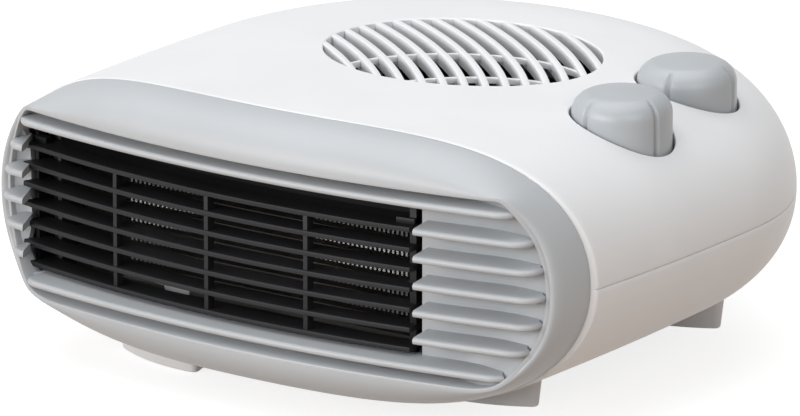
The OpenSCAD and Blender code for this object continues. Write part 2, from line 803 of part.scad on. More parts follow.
// Impeller: a hub and back plate, curved blades and a top ring
hub_r = 7;
hub_h = 18;
hub_flare = 8;
fan_plate_t = 1.6;
fan_ring_h = 2;
blade_turn = 28;
blade_set = 0.1;
shaft_end = 2;
module impeller() {
    color(black) translate([fan_x, fan_y, fan_z]) difference() {
        union() {
            cylinder(r = fan_r, h = fan_plate_t);
            cylinder(r = hub_r, h = hub_h);
            cylinder(r1 = hub_r + hub_flare, r2 = hub_r, h = hub_flare);
            for (i = [0:blade_count - 1]) rotate(i * 360 / blade_count)
                translate([fan_r - blade_d / 2, 0, fan_plate_t / 2]) rotate(blade_turn)
                    translate([-blade_d / 2, -blade_t / 2, 0])
                        cube([blade_d - 2 * blade_set, blade_t, fan_h - fan_plate_t]);
            translate([0, 0, fan_h - fan_ring_h]) difference() {
                cylinder(r = fan_r, h = fan_ring_h);
                translate([0, 0, -cut])
                    cylinder(r = fan_r - blade_d - fan_plate_t / 2, h = fan_ring_h + 2 * cut);
            }
        }
        translate([0, 0, -cut]) cylinder(r = shaft_r, h = fan_h + 2 * cut);
    }
}
module fan_shaft() {
    color(steel) translate([fan_x, fan_y, motor_z - shaft_end])
        cylinder(r = shaft_r, h = fan_z + hub_h - motor_z + 2 * shaft_end);
}
module motor_rotor() {
    color(steel) translate([fan_x, fan_y, core_z]) difference() {
        cylinder(r = rotor_r, h = core_h);
        translate([0, 0, -cut]) cylinder(r = shaft_r, h = core_h + 2 * cut);
    }
}

// Shaded pole motor: a core with a window, its coil, two brackets and their bushes
core_wall = 8;
core_half = rotor_r + air_gap + core_wall;
yoke_y0 = fan_y + core_half;
yoke_gap = 14;
yoke_d = 9;
coil_half = 12.5;
coil_grow = 5;
bush_r = 5;
module motor_stator() {
    color(steel) difference() {
        translate([fan_x - core_half, fan_y - core_half, core_z])
            cube([2 * core_half, yoke_y0 + yoke_gap + yoke_d - fan_y + core_half, core_h]);
        translate([fan_x, fan_y, core_z - cut]) cylinder(r = rotor_r + air_gap, h = core_h + 2 * cut);
        translate([fan_x - coil_half - 1, yoke_y0, core_z - cut])
            cube([2 * coil_half + 2, yoke_gap, core_h + 2 * cut]);
    }
}
module motor_coil() {
    y = yoke_y0 + yoke_gap - coil_grow;
    color(copper) difference() {
        translate([fan_x - coil_half, y, core_z - coil_grow])
            cube([2 * coil_half, yoke_d + 2 * coil_grow, core_h + 2 * coil_grow]);
        translate([fan_x - coil_half - cut, y + coil_grow - seat_gap, core_z - seat_gap])
            cube([2 * coil_half + 2 * cut, yoke_d + 2 * seat_gap, core_h + 2 * seat_gap]);
    }
}
bracket_d = 12;
bracket_leg = 6;
bracket_end = 4;
bush_lip = 0.6;
module bracket(ear) {
    leg = core_half - bracket_end;
    difference() {
        union() {
            translate([-ear, -bracket_d / 2, 0]) cube([2 * ear, bracket_d, bracket_t]);
            for (s = [-1, 1]) translate([s * leg - bracket_leg / 2, -bracket_d / 2, 0])
                cube([bracket_leg, bracket_d, bracket_t + rotor_rise]);
        }
        translate([0, 0, -cut]) cylinder(r = bush_r, h = bracket_t + 2 * cut);
        if (ear > core_half) for (s = [-1, 1]) translate([s * motor_span, 0, -cut])
            cylinder(r = small_screw_r + seat_gap, h = bracket_t + 2 * cut);
    }
}
module bush() {
    h = bracket_t + 2 * bush_lip;
    translate([0, 0, -bush_lip]) difference() {
        cylinder(r = bush_r, h = h);
        translate([0, 0, -cut]) cylinder(r = shaft_r + run_gap, h = h + 2 * cut);
    }
}
module lower_bracket() {
    color(steel) translate([fan_x, fan_y, motor_z]) bracket(motor_span + bracket_end);
}
module upper_bracket() {
    color(steel) translate([fan_x, fan_y, core_top + rotor_rise + bracket_t]) rotate([180, 0, 0])
        bracket(core_half);
}
module lower_bush() {
    color(brass) translate([fan_x, fan_y, motor_z]) bush();
}
module upper_bush() {
    color(brass) translate([fan_x, fan_y, core_top + rotor_rise]) bush();
}
module small_screw(x, y, z) {
    translate([x, y, z - small_screw_len + 2 * seat_gap])
        cylinder(r = small_screw_r, h = small_screw_len - 2 * seat_gap);
    translate([x, y, z]) cylinder(r = small_head_r, h = small_head_h);
}
module motor_screws() {
    color(steel) for (s = [-1, 1]) small_screw(fan_x + s * motor_span, fan_y, motor_z + bracket_t);
}

// Heating element: a mica box with shelves that carry waved resistance strips
board_t = 1.5;
shelf_t = 0.8;
shelf_in = 1;
wave_pitch = 3.6;
wave_t = 0.5;
wave_end = 3;
wave_in = 2;
cutout_r = 5.5;
cutout_h = 4;
cutout_in = 22;
function strip_z(i) = element_z + element_h / 2 + (i - (strip_count - 1) / 2) * strip_pitch;
module element_frame() {
    color(mica) union() {
        for (x = [element_x0, element_x1 - board_t])
            translate([x, element_y, element_z]) cube([board_t, element_d, element_h]);
        for (z = [element_z, element_z + element_h - board_t])
            translate([element_x0, element_y, z]) cube([element_x1 - element_x0, element_d, board_t]);
        for (i = [0:strip_count - 1])
            translate([element_x0, element_y + shelf_in, strip_z(i) - shelf_t])
                cube([element_x1 - element_x0, element_d - 2 * shelf_in, shelf_t]);
    }
}
module heating_element() {
    x0 = element_x0 + board_t + wave_end;
    waves = floor((element_x1 - element_x0 - 2 * board_t - 2 * wave_end) / wave_pitch);
    mid = element_y + element_d / 2;
    swing = element_d / 2 - wave_in;
    wave = [for (i = [0:2 * waves]) [x0 + i * wave_pitch / 2, mid + (i % 2 == 0 ? -swing : swing)]];
    color(copper) for (i = [0:strip_count - 1])
        translate([0, 0, strip_z(i)]) linear_extrude(strip_h) path_wall(wave, wave_t);
}
module thermal_cutout() {
    color(steel) translate([element_x1 - cutout_in, element_y + element_d / 2, element_z + element_h])
        union() {
            cylinder(r = cutout_r, h = cutout_h / 4);
            cylinder(r = 0.75 * cutout_r, h = cutout_h);
        }
}

// Controls: a bracket on three posts holds the switch and the thermostat under the knobs
switch_size = [28, 24, 20];
thermostat_size = [26, 14, 14];
thermostat_r = 11;
thermostat_cap = 8;
tag_size = [0.8, 6, 6];
tag_pitch = 8;
plate_end = 5;
plate_round = 12;
spindle_bury = 6;
module control_bracket() {
    color(steel) difference() {
        translate([0, 0, control_z]) linear_extrude(control_t) hull() {
            for (p = control_posts) translate(p) circle(r = plate_end, $fn = 40);
            for (p = knobs) translate(p) circle(r = plate_round, $fn = 40);
        }
        for (p = knobs) translate([p.x, p.y, control_z - cut])
            cylinder(r = spindle_r + knob_gap, h = control_t + 2 * cut);
        for (p = control_posts) translate([p.x, p.y, control_z - cut])
            cylinder(r = small_screw_r + seat_gap, h = control_t + 2 * cut);
    }
}
module control_screws() {
    color(steel) for (p = control_posts) small_screw(p.x, p.y, control_z + control_t);
}
module spindle_bore() {
    translate([0, 0, -spindle_bury]) cylinder(r = spindle_r + run_gap, h = spindle_bury + cut);
}
module block(size, top) {
    translate([-size.x / 2, -size.y / 2, top - size.z]) cube(size);
}
module selector_switch() {
    color(cream) translate([selector_x, selector_y, control_z]) difference() {
        union() {
            block(switch_size, 0);
            for (i = [-1:1]) translate([i * tag_pitch, 0, 0])
                block(tag_size + [0, 0, cut], cut - switch_size.z);
        }
        spindle_bore();
    }
}
module thermostat_body() {
    low = thermostat_cap - 2;
    color(cream) translate([thermostat_x, thermostat_y, control_z]) difference() {
        union() {
            translate([0, 0, -thermostat_cap]) cylinder(r = thermostat_r, h = thermostat_cap);
            block(thermostat_size, -low);
            for (s = [-1, 1]) translate([s * tag_pitch, 0, 0])
                block(tag_size + [0, 0, cut], cut - low - thermostat_size.z);
        }
        spindle_bore();
    }
}
knob_lift = 2.5;
socket_d = 10;
module spindle(place) {
    base = control_z - spindle_bury + seat_gap;
    translate([place.x, place.y, base])
        cylinder(r = spindle_r, h = well_floor_z + knob_lift + socket_d - base);
}
module selector_spindle() {
    color(steel) spindle(knobs[0]);
}
module thermostat_spindle() {
    color(steel) spindle(knobs[1]);
}
// A knob: a drum with a rounded top and four narrow grooves down its side
groove_t = 1.6;
selector_turn = 16;
thermostat_turn = -14;
module knob(place, top, turn) {
    low = well_floor_z + knob_lift;
    h = top - low;
    translate([place.x, place.y, low]) difference() {
        rotate_extrude($fn = 96) difference() {
            union() {
                square([knob_r, h - knob_round]);
                square([knob_r - knob_round, h]);
                translate([knob_r - knob_round, h - knob_round]) circle(r = knob_round, $fn = 64);
            }
            translate([-knob_r, 0]) square([knob_r, 2 * h]);
            translate([-knob_r, -h]) square([3 * knob_r, h]);
        }
        translate([0, 0, -cut]) cylinder(r = spindle_r, h = socket_d + cut);
        for (i = [0:3]) rotate(turn + 90 * i) translate([knob_r, 0, -cut])
            cylinder(r = groove_t / 2, h = h + 2 * cut, $fn = 24);
    }
}
module selector_knob() {
    color(grey) knob(knobs[0], selector_top, selector_turn);
}
module thermostat_knob() {
    color(grey) knob(knobs[1], thermostat_top, thermostat_turn);
}

// Wiring: the terminal block, the clamp for the cord and the inlet that it comes through
block_ways = 4;
block_hole_r = 2.2;
block_floor = 3;
module terminal_block() {
    color(cream) translate(block_at) difference() {
        cube(block_size);
        for (i = [0:block_ways - 1])
            translate([block_size.x * (i + 0.5) / block_ways, block_size.y / 2, block_floor])
                cylinder(r = block_hole_r, h = block_size.z);
    }
}
module cord_clamp() {
    half = clamp_span + clamp_end;
    color(white) translate([clamp_x, clamp_y, clamp_z]) difference() {
        translate([-half, -clamp_d / 2, 0]) cube([2 * half, clamp_d, clamp_t]);
        for (s = [-1, 1]) translate([s * clamp_span, 0, -cut])
            cylinder(r = small_screw_r + seat_gap, h = clamp_t + 2 * cut);
    }
}
module clamp_screws() {
    color(steel) for (s = [-1, 1]) small_screw(clamp_x + s * clamp_span, clamp_y, clamp_z + clamp_t);
}
module cord_inlet() {
    color(black) translate([inlet_x, inlet_back_y, inlet_z]) rotate([-90, 0, 0]) difference() {
        union() {
            cylinder(r = inlet_r + inlet_wall, h = inlet_len);
            translate([0, 0, inlet_len]) cylinder(r = inlet_r + inlet_wall + inlet_flange, h = inlet_rim);
        }
        translate([0, 0, -cut]) cylinder(r = inlet_r, h = inlet_len + inlet_rim + 2 * cut);
    }
}
module case_screws() {
    color(steel) for (p = case_bosses) translate([p.x, p.y, case_head_z]) {
        cylinder(r = case_screw_r, h = boss_split + screw_bite - case_head_z);
        translate([0, 0, -case_head_h]) cylinder(r = case_head_r, h = case_head_h);
    }
}

top_cover();
bottom_cover();
front_bezel();
outlet_grille();
fan_scroll();
impeller();
fan_shaft();
motor_rotor();
motor_stator();
motor_coil();
lower_bracket();
upper_bracket();
lower_bush();
upper_bush();
motor_screws();
element_frame();
heating_element();
thermal_cutout();
control_bracket();
control_screws();
selector_switch();
selector_spindle();
selector_knob();
thermostat_body();
thermostat_spindle();
thermostat_knob();
terminal_block();
cord_clamp();
clamp_screws();
cord_inlet();
case_screws();
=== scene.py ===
"""Flat fan heater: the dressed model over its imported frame.

Lengths are millimetres in the frame of the CAD until a mesh is made, which holds metres.
X runs across the heater towards the knobs, -Y out of the air outlet and Z up.
"""

import functools
import math

import bmesh
import bpy
from mathutils import Matrix, Vector
from mathutils.bvhtree import BVHTree


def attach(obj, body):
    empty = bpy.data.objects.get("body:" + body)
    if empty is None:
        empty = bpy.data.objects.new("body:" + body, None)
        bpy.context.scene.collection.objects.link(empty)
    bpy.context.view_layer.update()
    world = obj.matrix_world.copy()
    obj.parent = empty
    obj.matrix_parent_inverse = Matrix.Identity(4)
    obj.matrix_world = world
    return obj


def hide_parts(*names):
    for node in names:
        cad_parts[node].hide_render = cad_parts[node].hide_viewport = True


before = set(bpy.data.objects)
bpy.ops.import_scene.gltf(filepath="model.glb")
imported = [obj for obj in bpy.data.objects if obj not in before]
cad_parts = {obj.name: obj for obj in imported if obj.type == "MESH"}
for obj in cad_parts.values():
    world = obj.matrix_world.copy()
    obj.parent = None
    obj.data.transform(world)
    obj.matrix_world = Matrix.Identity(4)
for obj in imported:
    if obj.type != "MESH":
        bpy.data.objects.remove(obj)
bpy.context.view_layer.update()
MM = 0.001

# Sizes of the housing, as in the CAD
BODY_W, BODY_D, BODY_TOP, FOOT_H = 244.0, 225.0, 102.0, 9.0
SEAM_Z, WIDE_Z = 55.5, 57.0  # the seam, and the level above it where the top cover curves in
TOP_FALL, BOTTOM_RISE = 7.0, 2.8  # how far the covers slope from front to back
BACK_REACH, SIDE_FLARE, WALL = 100.0, 7.2, 2.5
SIDE_FORM, BACK_FORM, UNDER_FORM = 4.4, 8.2, 3.9  # exponents: the higher, the squarer the section

# Sizes of the bezel, whose ring and panel follow arcs about one upright axis
FRONT_R, BEZEL_D, LIP_DROP, LIP_STEP = 420.0, 18.7, 13.1, 5.4
PANEL_DEPTH, PANEL_T = 10.0, 2.5
WINDOW_X0, WINDOW_X1, WINDOW_H = -102.5, 62.5, 53.0

# Sizes of the knobs, with x, y, top and turn of the grooves in degrees for each
KNOBS = [(88.0, -18.3, 105.0, -14.0), (82.0, 30.5, 103.2, 10.0)]
KNOB_R, KNOB_GAP, WELL_FLOOR, WELL_T = 16.8, 0.8, 76.0, 1.8
WELL_R = KNOB_R + KNOB_GAP

# Places that follow from the sizes
FRONT_Y, BACK_Y = -BODY_D / 2, BODY_D / 2
WIDE_Y, HALF_W = BACK_Y - BACK_REACH, BODY_W / 2
AXIS_Y, JOINT_Y, JOINT_R = FRONT_Y + FRONT_R, FRONT_Y + BEZEL_D, FRONT_R - BEZEL_D
JOINT_HALF = HALF_W - SIDE_FLARE
LIP_HALF = JOINT_HALF - LIP_STEP
PANEL_R = FRONT_R - PANEL_DEPTH


def mix(a, b, t):
    return a + (b - a) * t


def arc_y(x, r):
    """Y on the arc of radius r about the bezel's axis."""
    return AXIS_Y - math.sqrt(r * r - x * x)


def half_at(y):
    """Half the width of the housing."""
    return HALF_W - SIDE_FLARE * (max(WIDE_Y - y, 0) / (WIDE_Y - JOINT_Y)) ** 2


def top_at(y):
    return BODY_TOP - TOP_FALL * (y - JOINT_Y) / (BACK_Y - JOINT_Y)


def under_at(y):
    return FOOT_H + BOTTOM_RISE * (y - JOINT_Y) / (BACK_Y - JOINT_Y)


def rise(s, form):
    """Height of a rounded section, as a share of its full height, at a share s of its half width."""
    return math.sqrt(max(1 - abs(s) ** form, 0))


# Materials
GRAIN_HEIGHT, BRUSH_HEIGHT = 0.00003, 0.0001  # depths of the relief, in metres
MOTTLE_SCALE, MOTTLE_ENDS, GLOSS_SPREAD = 28, (0.3, 0.7), 0.05
METAL_TONES, METAL_GLOSS = (0.8, 1.1), (0.8, 1.3)  # shares of a metal's colour and of its roughness


def add_node(tree, kind, **sockets):
    """A new node, with the values that its sockets get."""
    n = tree.nodes.new("ShaderNode" + kind)
    for key, value in sockets.items():
        n.inputs[key.replace("_", " ")].default_value = value
    return n


def new_surface(name):
    material = bpy.data.materials.new(name)
    material.use_nodes = True
    return material, material.node_tree, material.node_tree.nodes["Principled BSDF"]


def vary(tree, shader, shade, tones, ends, gloss, relief, strength, height):
    """One noise moves the colour and the roughness between two values each, and one sets the bump."""
    ramp = add_node(tree, "ValToRGB")
    for element, end, tone in zip(ramp.color_ramp.elements, ends, tones):
        element.position, element.color = end, [min(c, 1) for c in tone] + [1]
    spread = add_node(tree, "MapRange", To_Min=gloss[0], To_Max=gloss[1])
    bump = add_node(tree, "Bump", Strength=strength, Distance=height)
    for source, target in ((shade.outputs["Fac"], ramp.inputs["Fac"]),
                           (ramp.outputs["Color"], shader.inputs["Base Color"]),
                           (shade.outputs["Fac"], spread.inputs["Value"]),
                           (spread.outputs["Result"], shader.inputs["Roughness"]),
                           (relief.outputs["Fac"], bump.inputs["Height"]),
                           (bump.outputs["Normal"], shader.inputs["Normal"])):
        tree.links.new(source, target)


def plastic(name, colour, rough, grain=0.25, grain_mm=0.35, mottle=0.02, ior=1.46):
    """Moulded plastic: fine spark-eroded grain, a slow change of gloss and a slight mottle of colour."""
    material, tree, shader = new_surface(name)
    shader.inputs["IOR"].default_value = ior
    place = add_node(tree, "TexCoord")
    fine = add_node(tree, "TexNoise", Scale=1000 / grain_mm, Detail=2)
    slow = add_node(tree, "TexNoise", Scale=MOTTLE_SCALE, Detail=3)
    for noise in (fine, slow):
        tree.links.new(place.outputs["Object"], noise.inputs["Vector"])
    tones = [[c * share for c in colour] for share in (1 - mottle, 1 + mottle)]
    gloss = (rough - GLOSS_SPREAD, rough + GLOSS_SPREAD)
    vary(tree, shader, slow, tones, MOTTLE_ENDS, gloss, fine, grain, GRAIN_HEIGHT)
    return material


def metal(name, colour, rough, brushed=(40, 40, 900), strength=0.15):
    """Plain metal with drawn or rolled lines along one direction and uneven gloss."""
    material, tree, shader = new_surface(name)
    shader.inputs["Metallic"].default_value = 1
    place = add_node(tree, "TexCoord")
    stretch = add_node(tree, "Mapping", Scale=brushed)
    lines = add_node(tree, "TexNoise", Scale=2, Detail=3)
    tree.links.new(place.outputs["Object"], stretch.inputs["Vector"])
    tree.links.new(stretch.outputs["Vector"], lines.inputs["Vector"])
    tones = [[c * share for c in colour] for share in METAL_TONES]
    gloss = [rough * share for share in METAL_GLOSS]
    vary(tree, shader, lines, tones, (0, 1), gloss, lines, strength, BRUSH_HEIGHT)
    return material


WHITE = plastic("white moulding", (0.70, 0.71, 0.722), 0.42, grain=0.12)
GREY = plastic("grey moulding", (0.405, 0.423, 0.44), 0.42, grain=0.15)
KNOB_GREY = plastic("grey knob moulding", (0.37, 0.392, 0.41), 0.36, grain=0.12)
BLACK = plastic("black moulding", (0.010, 0.010, 0.0115), 0.5, grain=0.35, mottle=0.12, ior=1.36)
CREAM = plastic("cream moulding", (0.72, 0.68, 0.58), 0.45, grain=0.3)
# the boards' own brown, darkened further as painted shade of the heater's inside
MICA_DARKENED_AS_SHADE = plastic("pressed mica board", (0.06, 0.054, 0.046), 0.5, grain=0.6, grain_mm=0.8, mottle=0.3)
STEEL = metal("plated steel", (0.62, 0.62, 0.64), 0.32)
LAMINATION = metal("stacked core plates", (0.45, 0.45, 0.47), 0.45, brushed=(3, 3, 1400), strength=0.6)
COPPER = metal("enamelled winding", (0.62, 0.27, 0.12), 0.3, brushed=(5, 900, 900), strength=0.5)
BRASS = metal("sintered bush", (0.66, 0.50, 0.24), 0.4)
STRIP = metal("resistance strip", (0.30, 0.29, 0.28), 0.45, brushed=(60, 60, 400))
# a lighter, glossier copy of the strip: painted glints on two of the windings
STRIP_PAINTED_GLINT = metal("resistance strip with painted glint", (0.90, 0.88, 0.86), 0.25, brushed=(60, 60, 400))

# Mesh tools
WELD = 0.002  # points nearer than this become one
TINY = 1e-12  # keeps a point that lies on a corner from dividing by nothing
CREASE, BEZEL_CREASE, KNOB_CREASE, SKIN_CREASE = 32, 40, 50, 70  # degrees from which an edge is sharp


def make(name, mesh, material, body="housing", crease=CREASE):
    """An object from vertices and faces. Without a body it is a tool or part of the stage."""
    verts, faces = mesh
    me = bpy.data.meshes.new(name)
    me.from_pydata([(x * MM, y * MM, z * MM) for x, y, z in verts], [], faces)
    bm = bmesh.new()
    bm.from_mesh(me)
    bmesh.ops.remove_doubles(bm, verts=bm.verts, dist=WELD * MM)
    bmesh.ops.dissolve_degenerate(bm, edges=bm.edges, dist=WELD * MM / 4)
    bmesh.ops.recalc_face_normals(bm, faces=bm.faces)
    bm.to_mesh(me)
    bm.free()
    smooth(me, crease)
    me.materials.append(material)
    o = bpy.data.objects.new(name, me)
    bpy.context.collection.objects.link(o)
    if body:
        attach(o, body)
    return o


def smooth(me, crease=CREASE):
    me.polygons.foreach_set("use_smooth", [True] * len(me.polygons))
    me.set_sharp_from_angle(angle=math.radians(crease))
    me.update()


def lattice(rows, closed_rows=False, closed_cols=False):
    """Quads over a list of equally long rows of points."""
    n, m = len(rows), len(rows[0])
    verts = [p for row in rows for p in row]
    faces = []
    for i in range(n if closed_rows else n - 1):
        for j in range(m if closed_cols else m - 1):
            faces.append((i * m + j, i * m + (j + 1) % m,
                          ((i + 1) % n) * m + (j + 1) % m, ((i + 1) % n) * m + j))
    return verts, faces


def tube(rows):
    """A solid through closed sections, with flat ends."""
    verts, faces = lattice(rows, closed_cols=True)
    m = len(rows[0])
    faces.append(tuple(range(m)))
    faces.append(tuple(range(len(verts) - m, len(verts))))
    return verts, faces


def together(parts):
    verts, faces = [], []
    for v, f in parts:
        k = len(verts)
        verts += v
        faces += [tuple(i + k for i in face) for face in f]
    return verts, faces


def shell(outer, inner, ends=(0,)):
    """Two stacks of rows, joined along the named end rows and along both end columns."""
    parts = [lattice(outer), lattice(inner)]
    parts += [lattice([outer[row], inner[row]]) for row in ends]
    parts += [lattice([[r[col] for r in outer], [r[col] for r in inner]]) for col in (0, -1)]
    return together(parts)


def prism(points, z0, z1):
    return tube([[(x, y, z0) for x, y in points], [(x, y, z1) for x, y in points]])


def brick(x0, x1, y0, y1, z0, z1):
    return prism([(x0, y0), (x1, y0), (x1, y1), (x0, y1)], z0, z1)


def carve(o, *tools):
    """Cuts solids, given as vertices and faces, out of an object."""
    cutters = [make("cutter", tool, WHITE, None) for tool in tools]
    for c in cutters:
        mod = o.modifiers.new("cut", "BOOLEAN")
        mod.operation, mod.object, mod.solver = "DIFFERENCE", c, "EXACT"
    dg = bpy.context.evaluated_depsgraph_get()
    me = bpy.data.meshes.new_from_object(o.evaluated_get(dg))
    o.modifiers.clear()
    old = o.data
    o.data = me
    bpy.data.meshes.remove(old)
    for c in cutters:
        bpy.data.objects.remove(c)


def tree_of(me):
    return BVHTree.FromPolygons([v.co for v in me.vertices], [tuple(p.vertices) for p in me.polygons])


def shade_like(me, skin, near=0.03, same_side=0.8):
    """Gives faces the smooth normals of the uncut skin, where they lie within near mm of it."""
    tree = tree_of(skin)
    norms = [Vector(n.vector) for n in skin.vertex_normals]
    shaded = [Vector(n.vector) for n in me.corner_normals]
    on_skin = {}
    for poly in me.polygons:
        for li in poly.loop_indices:
            vi = me.loops[li].vertex_index
            if vi not in on_skin:
                hit, _, fi, dist = tree.find_nearest(me.vertices[vi].co)
                n = None
                if hit is not None and dist < near * MM:
                    n = Vector()
                    for k in skin.polygons[fi].vertices:
                        n = n + norms[k] / ((skin.vertices[k].co - hit).length ** 2 + TINY)
                    n.normalize()
                on_skin[vi] = n
            n = on_skin[vi]
            if n is not None and n.dot(poly.normal) > same_side:
                shaded[li] = n
    me.normals_split_custom_set(shaded)


# Covers
JOINT_EDGE = [(0.0, 0.45), (0.13, 0.13), (0.45, 0.0), (2.2, 0.0)]  # behind the bezel: back, in
SEAM_EDGE = [(0.5, 0.0), (0.16, 0.1), (0.0, 0.42)]  # at the seam: in, away from it
SIDE_STEPS, BACK_STEPS = 26, 120
# Shares of the full outline at the levels of a cover, from the seam inwards
LEVEL_FORM = 6
LEVELS = [math.cos(math.radians(a)) ** (2 / LEVEL_FORM) for a in range(0, 85, 3)]
LEVELS += [0.4, 0.32, 0.24, 0.16, 0.08, 0.0]


def outline(s, inset):
    """x, y, squareness and inset along one level, from the front right round to the front left."""
    rim = arc_y(JOINT_HALF, JOINT_R)
    right = []
    for shift, more in JOINT_EDGE:
        x = s * (half_at(rim + shift) - inset - more)
        right.append((x, arc_y(x, JOINT_R) + shift, 0.0, inset + more))
    for i in range(1, SIDE_STEPS):
        x = s * (half_at(mix(rim, WIDE_Y, i / SIDE_STEPS)) - inset)
        right.append((x, mix(arc_y(x, JOINT_R), WIDE_Y, i / SIDE_STEPS), 0.0, inset))
    back = []
    for i in range(BACK_STEPS + 1):
        a = math.pi * i / BACK_STEPS
        back.append((s * (HALF_W - inset) * math.cos(a), WIDE_Y + s * (BACK_REACH - inset) * math.sin(a),
                     math.sin(a) ** 2, inset))
    return right + back + [(-x, y, f, e) for x, y, f, e in reversed(right)]


def top_row(s, inset):
    return [(x, y, WIDE_Z + (top_at(y) - e - WIDE_Z) * rise(s, mix(SIDE_FORM, BACK_FORM, f)))
            for x, y, f, e in outline(s, inset)]


def under_row(s, inset):
    return [(x, y, SEAM_Z - (SEAM_Z - under_at(y) - e) * rise(s, UNDER_FORM))
            for x, y, _, e in outline(s, inset)]


def flat_row(inset, z):
    return [(x, y, z) for x, y, _, _ in outline(1.0, inset)]


def cover_rows(row, side, levels, inset=0.0):
    """One face of a cover, from the seam to its middle line. Side is 1 above the seam and -1 below."""
    seam = [flat_row(inset if inset else i, SEAM_Z + side * z) for i, z in SEAM_EDGE]
    return seam + [row(s, inset) for s in levels]


top_outer, top_inner = cover_rows(top_row, 1, LEVELS), cover_rows(top_row, 1, LEVELS, WALL)
skin = make("skin", lattice(top_outer), WHITE, None, crease=SKIN_CREASE)
top_tree = tree_of(skin.data)
ABOVE_ALL = 0.3  # metres


def top_z(x, y):
    """Height of the uncut top cover."""
    hit = top_tree.ray_cast(Vector((x * MM, y * MM, ABOVE_ALL)), Vector((0, 0, -1)))[0]
    return hit.z / MM if hit is not None else WIDE_Z


# Intake and wells
FAN = Vector((6.0, 9.0))
INTAKE_RX, INTAKE_RY = 48.5, 44.5
INTAKE_STEPS, WELL_STEPS, RIM_STEPS = 180, 120, 6
RIM, RIM_D = 0.6, 8.0  # rounding of the rims, and the depth of the intake's wall
FILLET, SPINDLE_HOLE_R = 0.3, 4
CUT_Z0, CUT_Z1 = 60, 120  # the cuts reach from inside the cover to above it


def oval(grow):
    turns = [2 * math.pi * i / INTAKE_STEPS for i in range(INTAKE_STEPS)]
    return [(FAN.x + (INTAKE_RX + grow) * math.cos(a), FAN.y + (INTAKE_RY + grow) * math.sin(a))
            for a in turns]


def disc(cx, cy, r):
    turns = [2 * math.pi * i / WELL_STEPS for i in range(WELL_STEPS)]
    return [(cx + r * math.cos(a), cy + r * math.sin(a)) for a in turns]


top = make("housing_top", shell(top_outer, top_inner), WHITE)
carve(top, prism(oval(RIM), CUT_Z0, CUT_Z1),
      *[prism(disc(x, y, WELL_R + RIM), CUT_Z0, CUT_Z1) for x, y, _, _ in KNOBS])
smooth(top.data)
shade_like(top.data, skin.data)
under = make("housing_underside", shell(cover_rows(under_row, -1, LEVELS[1:]),
                                        cover_rows(under_row, -1, LEVELS[1:], WALL)), WHITE)
bpy.data.objects.remove(skin)


def at(points, heights, lift=0.0):
    return [(x, y, z + lift) for (x, y), z in zip(points, heights)]


def rounded_hole(name, place, wall, depth=None, floor=None):
    """The wall of a hole in the top, with a rounded rim that starts flush with the cut skin.

    place(grow) gives the hole's outline. The wall ends at a depth, or on a floor with a spindle hole.
    """
    high = [top_z(x, y) for x, y in place(RIM)]
    rows = []
    for k in range(RIM_STEPS + 1):
        a = math.radians(90 / RIM_STEPS * k)
        rows.append([(x, y, z - RIM + RIM * math.cos(a))
                     for (x, y), z in zip(place(RIM - RIM * math.sin(a)), high)])
    low = [floor if floor else z - depth for z in high]
    rows.append(at(place(0), low, FILLET))
    if floor:
        rows.append([(x, y, floor) for x, y in place(-FILLET)])
        rows.append([(x, y, floor) for x, y in place(SPINDLE_HOLE_R - WELL_R)])
        rows.append([(x, y, floor - wall) for x, y in place(SPINDLE_HOLE_R - WELL_R)])
        rows.append([(x, y, floor - wall) for x, y in place(wall)])
    else:
        rows += [at(place(FILLET), low), at(place(wall), low)]
    rows.append(at(place(wall), high, -WALL))
    make(name, lattice(rows, closed_rows=True, closed_cols=True), WHITE)


rounded_hole("intake_rim", oval, WALL, depth=RIM_D)
for i, (kx, ky, _, _) in enumerate(KNOBS):
    rounded_hole(f"knob_well_{i + 1}", lambda grow, kx=kx, ky=ky: disc(kx, ky, WELL_R + grow), WELL_T,
                 floor=WELL_FLOOR)

# A bar's sink is its depth under the skin, soft rounds its top, and span is half its arc in radians
SWIRL_COUNT, SWIRL_PITCH, SWIRL_R = 13, 7.0, 250.0
SWIRL = dict(t=2.6, depth=4.7, sink=0.1, soft=0.45, turn=math.radians(49), span=0.23)
RIB_R, RIB_CENTRES = 50.0, ((26, -41), (51, -62))  # measured from the fan's axis
RIB = dict(t=1.6, depth=2.0, sink=1.2, soft=0.3, turn=math.radians(122), span=math.radians(66))
BAR_GROW, BAR_STEP, BAR_DRAFT = 1.2, 1.2, 0.15  # reach into the rim, step along the arc, draft at the foot
CORNER_IN = 0.3  # where a rounded corner's middle point lies, as a share of its radius


def in_oval(x, y, grow):
    return ((x - FAN.x) / (INTAKE_RX + grow)) ** 2 + ((y - FAN.y) / (INTAKE_RY + grow)) ** 2 < 1


def intake_bar(centre, radius, t, depth, sink, soft, turn, span):
    """A curved upright strip, clipped by the intake, whose top follows the housing."""
    side = [(-t / 2 + BAR_DRAFT, -depth), (-t / 2, -soft),
            (-t / 2 + soft * CORNER_IN, -soft * CORNER_IN), (-t / 2 + soft, 0)]
    section = side + [(-u, w) for u, w in reversed(side)]
    rows = []
    n = int(2 * span * radius / BAR_STEP)
    for i in range(n + 1):
        a = turn + mix(-span, span, i / n)
        d = Vector((math.cos(a), math.sin(a)))
        p = centre + d * radius
        if not in_oval(p.x, p.y, BAR_GROW):
            continue
        crest = top_z(p.x, p.y) - sink
        rows.append([(*(centre + d * (radius + u)), crest + w) for u, w in section])
    return tube(rows) if len(rows) > 2 else ([], [])


swirl_out = Vector((math.cos(SWIRL["turn"]), math.sin(SWIRL["turn"])))
swirl_offs = [(i - (SWIRL_COUNT - 1) / 2) * SWIRL_PITCH for i in range(SWIRL_COUNT)]
make("intake_slats", together([intake_bar(FAN + swirl_out * (off - SWIRL_R), SWIRL_R, **SWIRL)
                               for off in swirl_offs]), WHITE)
make("intake_ribs", together([intake_bar(FAN + Vector(c), RIB_R, **RIB) for c in RIB_CENTRES]), WHITE)

